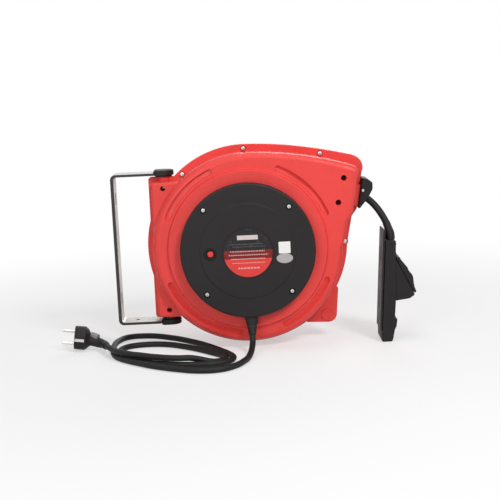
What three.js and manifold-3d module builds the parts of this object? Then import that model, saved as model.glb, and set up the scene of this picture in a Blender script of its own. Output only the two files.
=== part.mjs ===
// A spring-return cable reel: a red two-part housing with a black terminal cover, a sprung cable drum inside,
// a swivelling steel wall bracket, an outlet socket on the reeled cable and a supply cord with a round plug.
// Millimetres. X runs to the right along the front, Y into the reel from the cover's face, Z up from the floor.
import * as THREE from "three";
import { mergeVertices } from "three/addons/utils/BufferGeometryUtils.js";
import Module from "manifold-3d";

const wasm = await Module();
wasm.setup();

// ---------------------------------------------------------------- driving dimensions
const gap = 0.3; // between pieces that touch
const turningGap = 0.12; // radial, between a pin and its bore
const needle = 0.02; // corners nearer to a line than this are dropped from a cut shell

// housing
const flangeRadius = 150;
const flangeLip = 10; // how far the flange stands out beyond the body
const flangeThickness = 4; // of one half
const shellWall = 3;
const halfDepth = 57; // parting plane to plateau
const shoulderStep = 6; // plateau down to the face around it
const plateauBorder = 24; // from the body's side in to the plateau
const padBorder = 10; // from the body's side in to the grooves in the face
const padWidth = 9;
const padDepth = 2.5;
const fanReach = 26.5; // how far the fan stands out to the right of the flange's circle
const fanBevel = 8;
const pivotBoxBorder = 6; // from the flange circle's left end in to the box
const pivotBorder = 29; // from the flange circle's left end in to the bracket's pivot
const pivotBoxWidth = 54;
const pivotBoxRise = 0.57; // from the flange's rim at the caps' inner edge up to the box's end
const pivotBoxHalfDepth = 35;
const lugBorder = [33.6, 35.4]; // from the flange circle's right and lower ends in to the lug's boss
const rearHubRadius = 24;
const rearHubDepth = 5;

// terminal cover
const coverRadius = 98.4;
const coverDepth = 17.7;
const coverWall = 2.5;
const coverStepRadius = 69.5;
const coverStep = 0.8;
const coverScrewOffset = 62; // both ways from the axis
const screwWellRadius = 4.6;
const screwWellDepth = 4;
const labelRadius = 35.3;
const labelThickness = 0.5;
const labelDrop = 2.5; // label centre below the axis
const labelRecessRadius = 38;
const labelRecessDepth = 1;
const stickerThickness = 0.3;
const squareSticker = 17.7;
const ovalStickerWidth = 23.8;
const ovalStickerHeight = 14.4;
const stickerX = 52;
const buttonX = -55;
const buttonDrop = 2.3;
const buttonRadius = 4.7;
const buttonTravel = 3;
const buttonWellRadius = 9.5;
const buttonWellDepth = 5;

// drum
const axleRadius = 8;
const drumWidth = 64; // between the flanges
const drumBorder = 15; // from the body's side in to the drum's flanges
const drumFlangeThickness = 2.5;
const drumRoom = 70; // from the flanges' rim in to the core
const drumCoreWall = 2.5;
const reelCordDiameter = 10.4;
const windingTurns = 4.75;
const windingPitch = 10.95;
const cordLayers = 5;
const innerLayerRoom = 2.4; // between the inner layers and the outer one
const ratchetTeeth = 8;
const ratchetRootRise = 4; // above the core
const ratchetToothHeight = 7;
const ratchetDepth = 5;
const pawlPinRise = 20.3; // from the teeth's tips to the pawl's pin
const pawlAngle = 120; // degrees round from +X
const pawlRest = 38; // degrees that the pawl is swung aside, clear of the turning teeth
const pawlLength = 24.3;
const pawlThickness = 4;
const pawlPinThickness = 5;
const slipRings = [22.5, 31.5, 40.5]; // the middle radii of the three rings
const slipRingHalf = 3;
const slipRise = 9; // the rings' faces over the drum's flange
const slipLedge = 2; // the rings' faces over their carrier
const slipBore = 15;
const brushHalf = 2.5;
const brushReach = 2.5; // from the holder to the rings
const holderHalf = 9;
const holderWall = 5.5; // beyond the first and last slot
const springTurns = 5;
const springStrip = 1;
const springHeight = 46;

// cable mouth, rollers and stop
const mouthTopBorder = [2, 50]; // from the fan's right edge, and from the flange's top
const mouthBottomBorder = [10.5, 104];
const rollerUpperInset = [30.6, 2.4]; // from the mouth's top, to the left and down
const rollerLowerInset = [31.1, -16]; // from the mouth's bottom
const leadRoom = 12.59; // from the winding's outer layer to where its cable leaves
const leadAngle = 53.4; // degrees round from +X
const rollerRadius = 12.1;
const rollerLength = 30;
const rollerPinRadius = 3.5;
const pinRecess = 2; // how deep a pin's end sits below the face
const stopDepth = 36;
const stopScrewRadius = 1.4;
const stopEnd = 126; // along the cable's route from the winding
const tunnelStretch = [40, 135]; // of that route, where it runs through the housing
const channelStretch = [70, 150]; // of that route, around the cable stop
const tunnelRoom = 3.2; // between the cable and the tunnel

// wall bracket
const bracketReach = 78.5; // pivot to the wall face
const bracketWidth = 36;
const bracketThickness = 4;
const bracketBend = 8;
const armStandoff = 5; // pivot box's end to the middle of an arm
const slotWidth = 7;
const slotLength = 16;
const slotBorder = 36; // from the middle of an arm to a slot's middle
const armEndRadius = 12.8; // of the narrowed end inside the cap
const armHoleReach = 51; // pivot to the hole in the lower arm
const pivotPinRadius = 5;
const pivotPinDepth = 11; // into the housing
const capWall = 2.2;
const capReach = 14; // pivot to the cap's open end
const washerRadius = 12.6;

// outlet socket
const socketDepth = 50;
const socketForward = 24; // parting plane to the socket's middle
const towerDepth = 46;
const towerFaceTilt = 26.1; // degrees back from upright
const towerFaceLength = 58;
const wellRadius = 19.5;
const wellDepth = 16;
const insertThickness = 9;
const contactHoleRadius = 2.8;
const contactSpacing = 19;
const lidBarrel = 2.6;
const socketBootLength = 25.5;

// supply cord and plug
const supplyCordDiameter = 8.8;
const plugRadius = 17.8;
const plugFaceX = -268.3;
const plugFaceY = 61;
const plugFaceZ = 20.1;
const plugHeading = 4; // degrees from +X, from the face towards the neck
const plugPitch = 8; // degrees down towards the neck
const plugBodyLength = 16;
const plugPinRadius = 2.4;
const plugPinLength = 19;
const plugPinRoot = 12; // how deep a pin sits in the plug
const coilStart = 66; // along the supply cord, where its first stretch ends
const coilTail = 62; // length of its last stretch

// screws
const screwHeadRadius = 3.3;
const screwHeadHeight = 2.2;
const screwShankRadius = 1.6;

// ---------------------------------------------------------------- sizes worked out from them
const axisZ = flangeRadius;
const plateauY = coverDepth + gap;
const partingY = plateauY + halfDepth;
const bodyRadius = flangeRadius - flangeLip;
const plateauRadius = bodyRadius - plateauBorder;
const padOuterRadius = bodyRadius - padBorder;
const padInnerRadius = padOuterRadius - padWidth;
const fanWidth = flangeRadius + fanReach; // drum axis to the fan's right edge
const pivotX = pivotBorder - flangeRadius;
const capHalf = armEndRadius + gap + capWall;
const pivotBoxReach = flangeRadius - pivotBoxBorder; // drum axis to the box's left edge
const pivotBoxHalfHeight = Math.sqrt(flangeRadius ** 2 - (pivotX + capHalf) ** 2) + pivotBoxRise;
const armRise = pivotBoxHalfHeight + armStandoff;
const slotRise = armRise - slotBorder;
const lugBossX = flangeRadius - lugBorder[0];
const lugBossDrop = flangeRadius - lugBorder[1]; // below the drum axis
const drumFlangeRadius = bodyRadius - drumBorder;
const drumCoreRadius = drumFlangeRadius - drumRoom;
const ratchetRootRadius = drumCoreRadius + ratchetRootRise;
const ratchetTipRadius = ratchetRootRadius + ratchetToothHeight;
const pawlPinRadius = ratchetTipRadius + pawlPinRise; // from the drum axis
const socketMidY = partingY - socketForward;
const faceDepth = halfDepth - shoulderStep; // parting plane to the face
const front = -1;
const rear = 1;
const seam = gap / 2;
const cordRadius = reelCordDiameter / 2;
const supplyRadius = supplyCordDiameter / 2;
const windingRadius = drumCoreRadius + gap + (cordLayers - 0.5) * 0.99 * reelCordDiameter;
const mouthTop = new THREE.Vector2(fanWidth - mouthTopBorder[0], flangeRadius - mouthTopBorder[1]); // X, and rise
const mouthBottom = new THREE.Vector2(fanWidth - mouthBottomBorder[0], flangeRadius - mouthBottomBorder[1]);
const rollerUpper = new THREE.Vector2(mouthTop.x - rollerUpperInset[0], axisZ + mouthTop.y - rollerUpperInset[1]);
const rollerLower = new THREE.Vector2(mouthBottom.x - rollerLowerInset[0], axisZ + mouthBottom.y - rollerLowerInset[1]);
const mouthLine = mouthTop.clone().sub(mouthBottom).normalize();
const mouthOut = new THREE.Vector2(mouthLine.y, -mouthLine.x);
const mouthMid = mouthBottom.clone().lerp(mouthTop, 0.38).add(new THREE.Vector2(0, axisZ));

const drumHalf = drumWidth / 2;
const ratchetPlane = drumHalf + drumFlangeThickness; // distance of the ratchet's root from the parting plane
const pawlPlane = ratchetPlane + 1;
const pawlTurn = THREE.MathUtils.degToRad(pawlAngle);

// The depth of a point at a distance from the parting plane, on the front or the rear side.
const depthAt = (side, distance) => partingY + side * distance;

// The height of a point at a rise above the drum's axis.
const up = (rise) => axisZ + rise;
const pawlPin = new THREE.Vector2(pawlPinRadius * Math.cos(pawlTurn), up(pawlPinRadius * Math.sin(pawlTurn)));

// The bore in which a faceted pin of as many sides turns freely.
function runningBore(radius, sides) {
  return radius / Math.cos(Math.PI / sides) + turningGap;
}

// ---------------------------------------------------------------- materials
const plastic = (color, roughness = 0.5) => new THREE.MeshStandardMaterial({ color, roughness });
const metal = (color, roughness = 0.35) =>
  new THREE.MeshStandardMaterial({ color, roughness, metalness: 1 });
const redPlastic = plastic(0xdb2a26, 0.42);
const blackPlastic = plastic(0x262324, 0.55);
const greyPlastic = plastic(0x6f6f70, 0.6);
const rubber = plastic(0x1f1d1e, 0.75);
const cordSheath = plastic(0x242223, 0.65);
const labelFilm = plastic(0xc4231f, 0.3);
const whiteFilm = plastic(0xf2f2ef, 0.35);
const zincSteel = metal(0xd2cfcd, 0.38);
const springSteel = metal(0x8c8f94, 0.3);
const brass = metal(0xc9a45a, 0.3);
const carbon = plastic(0x303236, 0.5);
const nickel = metal(0xe0dcd4, 0.22);

// ---------------------------------------------------------------- solid tools
// A closed geometry as a manifold solid. Triangles that close up at an axis are dropped, and a geometry
// whose faces point inwards is turned round.
function solid(geometry) {
  const loose = geometry.index ? geometry.toNonIndexed() : geometry;
  const bare = new THREE.BufferGeometry();
  bare.setAttribute("position", loose.getAttribute("position"));
  const merged = mergeVertices(bare, 1e-4);
  const corners = [];
  const index = merged.index.array;
  for (let i = 0; i < index.length; i += 3) {
    const [a, b, c] = [index[i], index[i + 1], index[i + 2]];
    if (a !== b && b !== c && c !== a) corners.push([a, b, c]);
  }
  const build = (list) =>
    new wasm.Manifold(
      new wasm.Mesh({
        numProp: 3,
        vertProperties: Float32Array.from(merged.attributes.position.array),
        triVerts: Uint32Array.from(list.flat()),
      }),
    );
  const made = build(corners);
  return made.volume() < 0 ? build(corners.map(([a, b, c]) => [a, c, b])) : made;
}

const join = (...solids) => solids.reduce((all, next) => all.add(next));
const cut = (body, ...tools) => tools.reduce((left, tool) => left.subtract(tool), body);

// The largest piece of a solid, without the slivers and needles that coplanar cuts can leave.
function largest(body) {
  const piece = body.decompose().reduce((best, next) => (next.volume() > best.volume() ? next : best));
  return piece.simplify(needle);
}

// A solid back as a geometry.
function geometryOf(body) {
  const mesh = body.getMesh();
  const geometry = new THREE.BufferGeometry();
  geometry.setAttribute("position", new THREE.BufferAttribute(mesh.vertProperties, 3));
  geometry.setIndex(new THREE.BufferAttribute(mesh.triVerts, 1));
  geometry.computeVertexNormals();
  return geometry;
}

// A profile of [radius, depth] turned about an axis along Y through (x, z).
function turned(profile, sides, x = 0, z = axisZ) {
  const points = profile.map(([r, y]) => new THREE.Vector2(r, y));
  points.push(points[0].clone());
  return solid(new THREE.LatheGeometry(points, sides).translate(x, 0, z));
}

// A ring or disc turned about Y between two depths.
function ring(inner, outer, y0, y1, sides, x = 0, z = axisZ) {
  const profile = [
    [inner, y0],
    [outer, y0],
    [outer, y1],
    [inner, y1],
  ];
  return turned(profile, sides, x, z);
}
const disc = (radius, y0, y1, sides, x = 0, z = axisZ) => ring(0, radius, y0, y1, sides, x, z);

// A shape drawn in X and Z, extruded from depth y0 to depth y1, its bevel inside that length.
function slab(shape, y0, y1, bevel = 0, curveSegments = 4) {
  const [low, high] = y0 < y1 ? [y0, y1] : [y1, y0];
  const geometry = new THREE.ExtrudeGeometry(shape, {
    depth: high - low - 2 * bevel,
    bevelEnabled: bevel > 0,
    bevelThickness: bevel,
    bevelSize: bevel,
    bevelSegments: 2,
    curveSegments,
  });
  return solid(geometry.rotateX(Math.PI / 2).translate(0, high - bevel, 0));
}

// A shape drawn in X and Y, extruded upwards from z0 to z1.
function plate(shape, z0, z1, curveSegments = 5) {
  const geometry = new THREE.ExtrudeGeometry(shape, { depth: z1 - z0, bevelEnabled: false, curveSegments });
  return solid(geometry.translate(0, 0, z0));
}

function block(x0, x1, y0, y1, z0, z1) {
  const geometry = new THREE.BoxGeometry(x1 - x0, y1 - y0, z1 - z0);
  return solid(geometry.translate((x0 + x1) / 2, (y0 + y1) / 2, (z0 + z1) / 2));
}

// A round bar between two points.
function bar(from, to, radius, sides = 12) {
  const axis = to.clone().sub(from);
  const geometry = new THREE.CylinderGeometry(radius, radius, axis.length(), sides);
  const turn = new THREE.Quaternion().setFromUnitVectors(new THREE.Vector3(0, 1, 0), axis.clone().normalize());
  geometry.applyQuaternion(turn);
  const middle = from.clone().lerp(to, 0.5);
  return solid(geometry.translate(middle.x, middle.y, middle.z));
}

const polygon = (points) => new THREE.Shape(points.map(([x, y]) => new THREE.Vector2(x, y)));

function roundedRectangle(x0, x1, y0, y1, radius) {
  const shape = new THREE.Shape();
  shape.moveTo(x0 + radius, y0);
  shape.lineTo(x1 - radius, y0);
  shape.absarc(x1 - radius, y0 + radius, radius, -Math.PI / 2, 0);
  shape.lineTo(x1, y1 - radius);
  shape.absarc(x1 - radius, y1 - radius, radius, 0, Math.PI / 2);
  shape.lineTo(x0 + radius, y1);
  shape.absarc(x0 + radius, y1 - radius, radius, Math.PI / 2, Math.PI);
  shape.lineTo(x0, y0 + radius);
  shape.absarc(x0 + radius, y0 + radius, radius, Math.PI, 1.5 * Math.PI);
  return shape;
}

function circle(radius, x = 0, y = 0) {
  const shape = new THREE.Shape();
  shape.absarc(x, y, radius, 0, 2 * Math.PI);
  return shape;
}

// A stretch of a longer curve, from one length along it to another.
class Stretch extends THREE.Curve {
  constructor(whole, from, to) {
    super();
    this.whole = whole;
    this.from = from / whole.getLength();
    this.to = to / whole.getLength();
    this.arcLengthDivisions = 400;
  }
  getPoint(t, target = new THREE.Vector3()) {
    return this.whole.getPointAt(Math.min(1, this.from + t * (this.to - this.from)), target);
  }
}

// A smooth curve through hand-laid points.
function routeThrough(points) {
  const curve = new THREE.CatmullRomCurve3(points.map((p) => new THREE.Vector3(...p)), false, "centripetal");
  curve.arcLengthDivisions = 3000;
  return curve;
}

// A round tube along a curve, closed at both ends.
function tube(curve, radius, sides, steps) {
  const section = new THREE.Shape();
  for (let i = 0; i < sides; i++) {
    const angle = (2 * Math.PI * (i + 0.5)) / sides;
    const corner = [radius * Math.cos(angle), radius * Math.sin(angle)];
    if (i === 0) section.moveTo(...corner);
    else section.lineTo(...corner);
  }
  return new THREE.ExtrudeGeometry(section, { extrudePath: curve, steps, bevelEnabled: false, curveSegments: 1 });
}

// The least gap between parts of one tube that lie further apart along it than a few diameters.
function leastGap(name, curve, diameter) {
  const count = Math.ceil(curve.getLength() / (diameter / 3));
  const points = curve.getSpacedPoints(count);
  const apart = Math.ceil((4 * diameter) / (curve.getLength() / count));
  let least = Infinity;
  for (let i = 0; i < points.length; i++) {
    for (let j = i + apart; j < points.length; j++) {
      least = Math.min(least, points[i].distanceTo(points[j]) - diameter);
    }
  }
  console.log(`least gap of ${name} to itself: ${least.toFixed(2)} mm`);
}

// A skin over oval stations, each { at, heading, wide, high } with `side` as the wide direction's guide.
function loft(stations, sides, guide) {
  const positions = [];
  const rings = stations.map(({ at, heading, wide, high }) => {
    const along = new THREE.Vector3(...heading).normalize();
    const across = guide.clone().addScaledVector(along, -guide.dot(along)).normalize();
    const third = new THREE.Vector3().crossVectors(along, across);
    return Array.from({ length: sides }, (_, i) => {
      const angle = (2 * Math.PI * i) / sides;
      return new THREE.Vector3(...at)
        .addScaledVector(across, wide * Math.cos(angle))
        .addScaledVector(third, high * Math.sin(angle));
    });
  });
  const face = (...corners) => corners.forEach((p) => positions.push(p.x, p.y, p.z));
  for (let k = 0; k + 1 < rings.length; k++) {
    for (let i = 0; i < sides; i++) {
      const j = (i + 1) % sides;
      face(rings[k][i], rings[k][j], rings[k + 1][j]);
      face(rings[k][i], rings[k + 1][j], rings[k + 1][i]);
    }
  }
  const last = rings[rings.length - 1];
  for (let i = 1; i + 1 < sides; i++) {
    face(rings[0][0], rings[0][i + 1], rings[0][i]);
    face(last[0], last[i], last[i + 1]);
  }
  const geometry = new THREE.BufferGeometry();
  geometry.setAttribute("position", new THREE.Float32BufferAttribute(positions, 3));
  return solid(geometry);
}

// ---------------------------------------------------------------- the assembly
const assembly = new THREE.Group();
const cordPieces = new Set();

function add(name, body, material, onCord = false) {
  const geometry = body instanceof THREE.BufferGeometry ? body : geometryOf(body);
  const mesh = new THREE.Mesh(geometry, material);
  mesh.name = name;
  assembly.add(mesh);
  if (onCord) cordPieces.add(mesh);
  return mesh;
}

// ---------------------------------------------------------------- screws
// A pan-head screw along Y. Its head's underside is at headY and its shank runs to tipY.
function screwAlongY(name, x, z, headY, tipY) {
  const out = Math.sign(headY - tipY);
  const profile = [
    [0, headY + out * screwHeadHeight],
    [screwHeadRadius * 0.8, headY + out * screwHeadHeight],
    [screwHeadRadius, headY],
    [screwShankRadius, headY],
    [screwShankRadius, tipY],
    [0, tipY],
  ];
  add(name, turned(profile, 8, x, z), zincSteel);
}
const screwHole = (x, z, y0, y1) => disc(screwShankRadius + gap, y0, y1, 8, x, z);

// A screw on the flange, by its angle round from +X and its inset from the rim.
function onFlange(name, degrees, inset) {
  const turn = THREE.MathUtils.degToRad(degrees);
  const radius = flangeRadius - inset;
  return { name, x: radius * Math.cos(turn), rise: radius * Math.sin(turn) };
}
const flangeScrews = [
  onFlange("shell_screw_left", 130.4, 6.8),
  onFlange("shell_screw_top", 90.2, 6.5),
  { name: "shell_screw_fan", x: fanWidth - 63.1, rise: flangeRadius - 19 },
  onFlange("shell_screw_right", -1.1, 3.6),
];
const wellScrews = [
  { name: "pivot_screw_upper", x: pivotX, rise: pivotBoxHalfHeight - 15 },
  { name: "pivot_screw_lower", x: pivotX, rise: 17 - pivotBoxHalfHeight },
];
const flangeScrewSeat = flangeThickness; // distance of the head's seat from the parting plane
const wellScrewSeat = 12;
const screwReach = 12; // shank length behind the parting plane

// ---------------------------------------------------------------- housing shells
// The fan that leads the cable from the drum's top to the mouth, drawn inset from the flange's edge.
function fanShape(inset) {
  const topZ = up(flangeRadius - inset);
  const right = fanWidth - inset;
  const shape = new THREE.Shape();
  shape.moveTo(0, axisZ);
  shape.lineTo(0, topZ);
  shape.bezierCurveTo(fanWidth - 120.5, topZ, fanWidth - 64.5, topZ - 10.5, right - 18.5, topZ - 22.2);
  shape.quadraticCurveTo(right + 0.5, topZ - 27, right, up(mouthTop.y + 6));
  shape.lineTo(mouthTop.x - inset, up(mouthTop.y));
  shape.lineTo(mouthBottom.x - inset, up(mouthBottom.y));
  shape.lineTo(mouthBottom.x - 8 - inset, up(mouthBottom.y - 11));
  shape.lineTo(flangeRadius + 0.5 - inset, up(-3));
  shape.closePath();
  return shape;
}

function pivotBoxShape(inset) {
  const right = pivotBoxWidth - pivotBoxReach;
  return roundedRectangle(
    inset - pivotBoxReach,
    right,
    up(inset - pivotBoxHalfHeight),
    up(pivotBoxHalfHeight - inset),
    5,
  );
}

// The lug, drawn from the middle of its boss.
function lugShape() {
  const [x, z] = [lugBossX, up(-lugBossDrop)];
  const shape = new THREE.Shape();
  shape.moveTo(x - 25, z + 54);
  shape.lineTo(x + 18, z + 42);
  shape.lineTo(x + 14, z + 1);
  shape.quadraticCurveTo(x + 12, z - 12, x, z - 12);
  shape.lineTo(x - 31, z - 10.5);
  shape.closePath();
  return shape;
}

// The round body's outside, or its inside when `thin` is the wall, as [radius, distance from the parting plane].
function bodyProfile(plateau, thin, start) {
  const wall = bodyRadius - thin;
  const face = faceDepth - thin;
  const rounding = thin > 0 ? [] : [[wall - 3, face - 3.6]];
  return [
    [0, start],
    [wall, start],
    [wall, face - 12],
    ...rounding,
    [wall - 11, face],
    [plateau + 2 - thin, face],
    [plateau - thin, halfDepth - thin],
    [0, halfDepth - thin],
  ];
}

const onSide = (side, profile) => profile.map(([r, d]) => [r, depthAt(side, d)]);

// A shallow groove with round ends in the face, between two angles in degrees.
function arcPad(side, fromDegrees, toDegrees) {
  const [a, b] = [fromDegrees, toDegrees].map(THREE.MathUtils.degToRad);
  const middle = (padInnerRadius + padOuterRadius) / 2;
  const half = (padOuterRadius - padInnerRadius) / 2;
  const shape = new THREE.Shape();
  shape.absarc(0, axisZ, padOuterRadius, a, b);
  shape.absarc(middle * Math.cos(b), axisZ + middle * Math.sin(b), half, b, b + Math.PI);
  shape.absarc(0, axisZ, padInnerRadius, b, a, true);
  shape.absarc(middle * Math.cos(a), axisZ + middle * Math.sin(a), half, a + Math.PI, a + 2 * Math.PI);
  return slab(shape, depthAt(side, faceDepth - padDepth), depthAt(side, faceDepth + 1));
}
const arcPads = [
  [22.5, 67],
  [114, 156],
  [203, 262],
  [294, 336],
];

const rollerPins = [rollerUpper, rollerLower];
const rollerEnd = rollerLength / 2 + gap; // distance of a roller's end gap from the parting plane
const mouthHalfDepth = cordRadius + 4;

// The reeled cable's way from the winding out through the mouth and down to the outlet. Its points, after the
// first, are taken from the mouth's middle: to the right, forward from the parting plane, and up.
const leadTurn = THREE.MathUtils.degToRad(leadAngle);
const leadRadius = windingRadius + leadRoom;
const mouthPoints = [
  [-77.23, 0, 21.28],
  [-53.23, 0, 17.38],
  [-29.83, 0, 12.88],
  [-14.23, 0, 7.78],
  [-1.23, 0, 1.88],
  [11.77, 0, -5.62],
  [21.27, 0.7, -14.12],
  [29.37, 3.7, -24.32],
  [35.57, 9.4, -34.92],
  [39.67, 16.2, -44.72],
  [41.77, 21.4, -53.52],
  [42.45, 23.5, -59.1],
  [42.7, 24, -64.72],
].map(([right, forward, rise]) => [mouthMid.x + right, partingY - forward, mouthMid.y + rise]);
const leadStart = [leadRadius * Math.cos(leadTurn), partingY, up(leadRadius * Math.sin(leadTurn))];
const cableRoute = routeThrough([leadStart, ...mouthPoints]);
const [outletX, , outletZ] = mouthPoints[mouthPoints.length - 1];

function shell(side) {
  const at = (distance) => depthAt(side, distance);
  const outer = join(
    turned(onSide(side, bodyProfile(plateauRadius, 0, 0)), 48),
    slab(fanShape(flangeLip + fanBevel), at(-fanBevel), at(faceDepth), fanBevel),
    slab(pivotBoxShape(6 + 4), at(-4), at(pivotBoxHalfDepth), 4),
    disc(flangeRadius, at(0), at(flangeThickness), 60),
    slab(fanShape(0), at(0), at(flangeThickness)),
    slab(pivotBoxShape(0), at(0), at(flangeThickness)),
    slab(lugShape(), at(0), at(flangeThickness)),
  );
  const inner = join(
    turned(onSide(side, bodyProfile(plateauRadius, shellWall, -1)), 24),
    slab(fanShape(flangeLip + shellWall + fanBevel), at(-fanBevel - 2), at(faceDepth - shellWall), fanBevel, 4),
    slab(pivotBoxShape(6 + shellWall), at(-2), at(pivotBoxHalfDepth - shellWall)),
  );
  let body = cut(outer, inner);
  const bosses = [];
  const holes = [];
  for (const { x, rise } of flangeScrews) {
    bosses.push(disc(screwHeadRadius + 2, at(0), at(side === front ? flangeScrewSeat : screwReach + 2), 8, x, up(rise)));
    holes.push(screwHole(x, up(rise), at(-1), at(side === front ? flangeScrewSeat + 9 : screwReach + gap)));
  }
  for (const { x, rise } of wellScrews) {
    const deep = pivotBoxHalfDepth - shellWall / 2;
    bosses.push(disc(screwHeadRadius + 3.4, at(0), at(side === front ? deep : screwReach + 4), 8, x, up(rise)));
    holes.push(screwHole(x, up(rise), at(-1), at(side === front ? wellScrewSeat + 1 : screwReach + gap)));
    if (side === front) holes.push(disc(screwHeadRadius + 0.5, at(wellScrewSeat), at(pivotBoxHalfDepth + 1), 12, x, up(rise)));
  }
  bosses.push(disc(9, at(0), at(flangeThickness + 2), 16, lugBossX, up(-lugBossDrop)));
  if (side === rear) {
    holes.push(screwHole(lugBossX, up(-lugBossDrop), at(-1), at(20)));
  } else {
    holes.push(screwHole(lugBossX, up(-lugBossDrop), at(-1), at(flangeThickness)));
    holes.push(disc(6, at(flangeThickness + 1.2), at(20), 16, lugBossX, up(-lugBossDrop)));
  }
  for (const pin of rollerPins) {
    bosses.push(disc(rollerPinRadius + 3.5, at(rollerEnd), at(faceDepth - shellWall / 2), 8, pin.x, pin.y));
    holes.push(disc(rollerPinRadius + turningGap, at(0), at(faceDepth + 1), 12, pin.x, pin.y));
  }
  for (const direction of [-1, 1]) {
    const outside = up(direction * pivotBoxHalfHeight);
    const inside = outside - direction * (pivotPinDepth + 9);
    const pinTip = outside - direction * (pivotPinDepth + 1);
    bosses.push(bar(new THREE.Vector3(pivotX, partingY, inside), new THREE.Vector3(pivotX, partingY, outside), 10, 8));
    holes.push(
      bar(
        new THREE.Vector3(pivotX, partingY, pinTip),
        new THREE.Vector3(pivotX, partingY, outside + direction),
        runningBore(pivotPinRadius, 16),
        16,
      ),
    );
  }
  const mouthSide = mouthOut.clone().multiplyScalar(18);
  const mouthReach = mouthLine.clone().multiplyScalar(16);
  const corner = (along, outward) => {
    const p = mouthMid.clone().addScaledVector(mouthReach, along).addScaledVector(mouthSide, outward);
    return [p.x, p.y];
  };
  const mouthFrame = polygon([corner(-1, -1), corner(1, -1), corner(1, 0), corner(-1, 0)]);
  bosses.push(slab(mouthFrame, at(-1), at(mouthHalfDepth + 3)));
  holes.push(solid(tube(new Stretch(cableRoute, ...tunnelStretch), cordRadius + tunnelRoom, 8, 5)));
  body = cut(join(body, ...bosses), ...holes);
  if (side === front) {
    for (const [from, to] of arcPads) body = cut(body, arcPad(side, from, to));
    body = cut(body, disc(axleRadius + gap, at(0), at(halfDepth + 1), 16));
    body = cut(body, disc(5, at(0), at(halfDepth + 1), 12, -34, axisZ));
    for (const sx of [-1, 1]) {
      for (const sz of [-1, 1]) {
        const [x, z] = [sx * coverScrewOffset, up(sz * coverScrewOffset)];
        const boss = disc(4.5, at(halfDepth - 9), at(halfDepth - 1), 12, x, z);
        body = cut(join(body, boss), screwHole(x, z, at(halfDepth - 8), at(halfDepth + 1)));
      }
    }
  } else {
    const hub = disc(rearHubRadius + shellWall, at(halfDepth - rearHubDepth - shellWall), at(halfDepth - 1), 20);
    const recess = disc(rearHubRadius, at(halfDepth - rearHubDepth), at(halfDepth + 1), 20);
    body = cut(join(body, hub), recess, disc(axleRadius + gap, at(0), at(halfDepth + 1), 16));
    const pawlBoss = disc(7, at(pawlPlane + pawlThickness + gap), at(halfDepth - 1), 8, pawlPin.x, pawlPin.y);
    body = cut(join(body, pawlBoss), disc(pawlPinThickness / 2 + gap, at(0), at(halfDepth - shellWall), 8, pawlPin.x, pawlPin.y));
  }
  const trimmed = block(-400, 400, Math.min(at(seam), at(400)), Math.max(at(seam), at(400)), -400, 800);
  return largest(body.intersect(trimmed));
}

add("front_shell", shell(front), redPlastic);
add("rear_shell", shell(rear), redPlastic);

for (const { name, x, rise } of flangeScrews) {
  screwAlongY(name, x, up(rise), depthAt(front, flangeScrewSeat + gap), depthAt(rear, screwReach));
}
for (const { name, x, rise } of wellScrews) {
  screwAlongY(name, x, up(rise), depthAt(front, wellScrewSeat + gap), depthAt(rear, screwReach));
}
screwAlongY(
  "lug_screw",
  lugBossX,
  up(-lugBossDrop),
  depthAt(rear, flangeThickness + 2 + gap),
  depthAt(front, flangeThickness - gap),
);

// ---------------------------------------------------------------- terminal cover
function terminalCover() {
  const rim = coverRadius - 2.4;
  const profile = [
    [0, 0],
    [coverStepRadius - 0.4, 0],
    [coverStepRadius + 0.4, coverStep],
    [rim, coverStep],
    [coverRadius, coverStep + 2.4],
    [coverRadius, coverDepth],
    [coverRadius - coverWall, coverDepth],
    [coverRadius - coverWall, coverStep + coverWall],
    [0, coverStep + coverWall],
  ];
  const raised = [];
  const sunk = [disc(labelRecessRadius, -1, labelRecessDepth, 36, 0, up(-labelDrop))];
  for (const sx of [-1, 1]) {
    for (const sz of [-1, 1]) {
      const [x, z] = [sx * coverScrewOffset, up(sz * coverScrewOffset)];
      raised.push(disc(screwWellRadius + 2, coverWall, coverDepth, 10, x, z));
      sunk.push(disc(screwWellRadius, -1, coverStep + screwWellDepth, 12, x, z));
      sunk.push(screwHole(x, z, 0, coverDepth + 1));
    }
  }
  const [wellX, wellZ] = [buttonX, up(-buttonDrop)];
  raised.push(disc(buttonWellRadius + 2, coverWall, buttonWellDepth + 2, 14, wellX, wellZ));
  sunk.push(disc(buttonWellRadius, -1, buttonWellDepth, 18, wellX, wellZ));
  sunk.push(disc(buttonRadius + 0.5, 0, coverDepth, 14, wellX, wellZ));
  sunk.push(bootGate(gap));
  return cut(join(turned(profile, 60), ...raised), ...sunk);
}

// The supply boot is an oval taper that leaves the cover's rim downwards and leans forward.
const bootLean = [
  { at: [1, 9, up(-coverRadius) + 7], heading: [0, 0, -1], wide: 9.2, high: 6.6 },
  { at: [1, 8.9, up(-coverRadius) - 2], heading: [0, -0.1, -1], wide: 8.9, high: 6.4 },
  { at: [1, 6.6, up(-coverRadius) - 11], heading: [0, -0.3, -1], wide: 7, high: 5.9 },
  { at: [1, 2.7, up(-coverRadius) - 20], heading: [0, -0.5, -1], wide: 5.8, high: 5.5 },
  { at: [1, -0.6, up(-coverRadius) - 26], heading: [0, -0.62, -1], wide: 5.3, high: 5.3 },
];
function bootGate(extra) {
  const grown = bootLean.slice(0, 3).map((s) => ({ ...s, wide: s.wide + extra, high: s.high + extra }));
  return loft(grown, 16, new THREE.Vector3(1, 0, 0));
}

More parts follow.
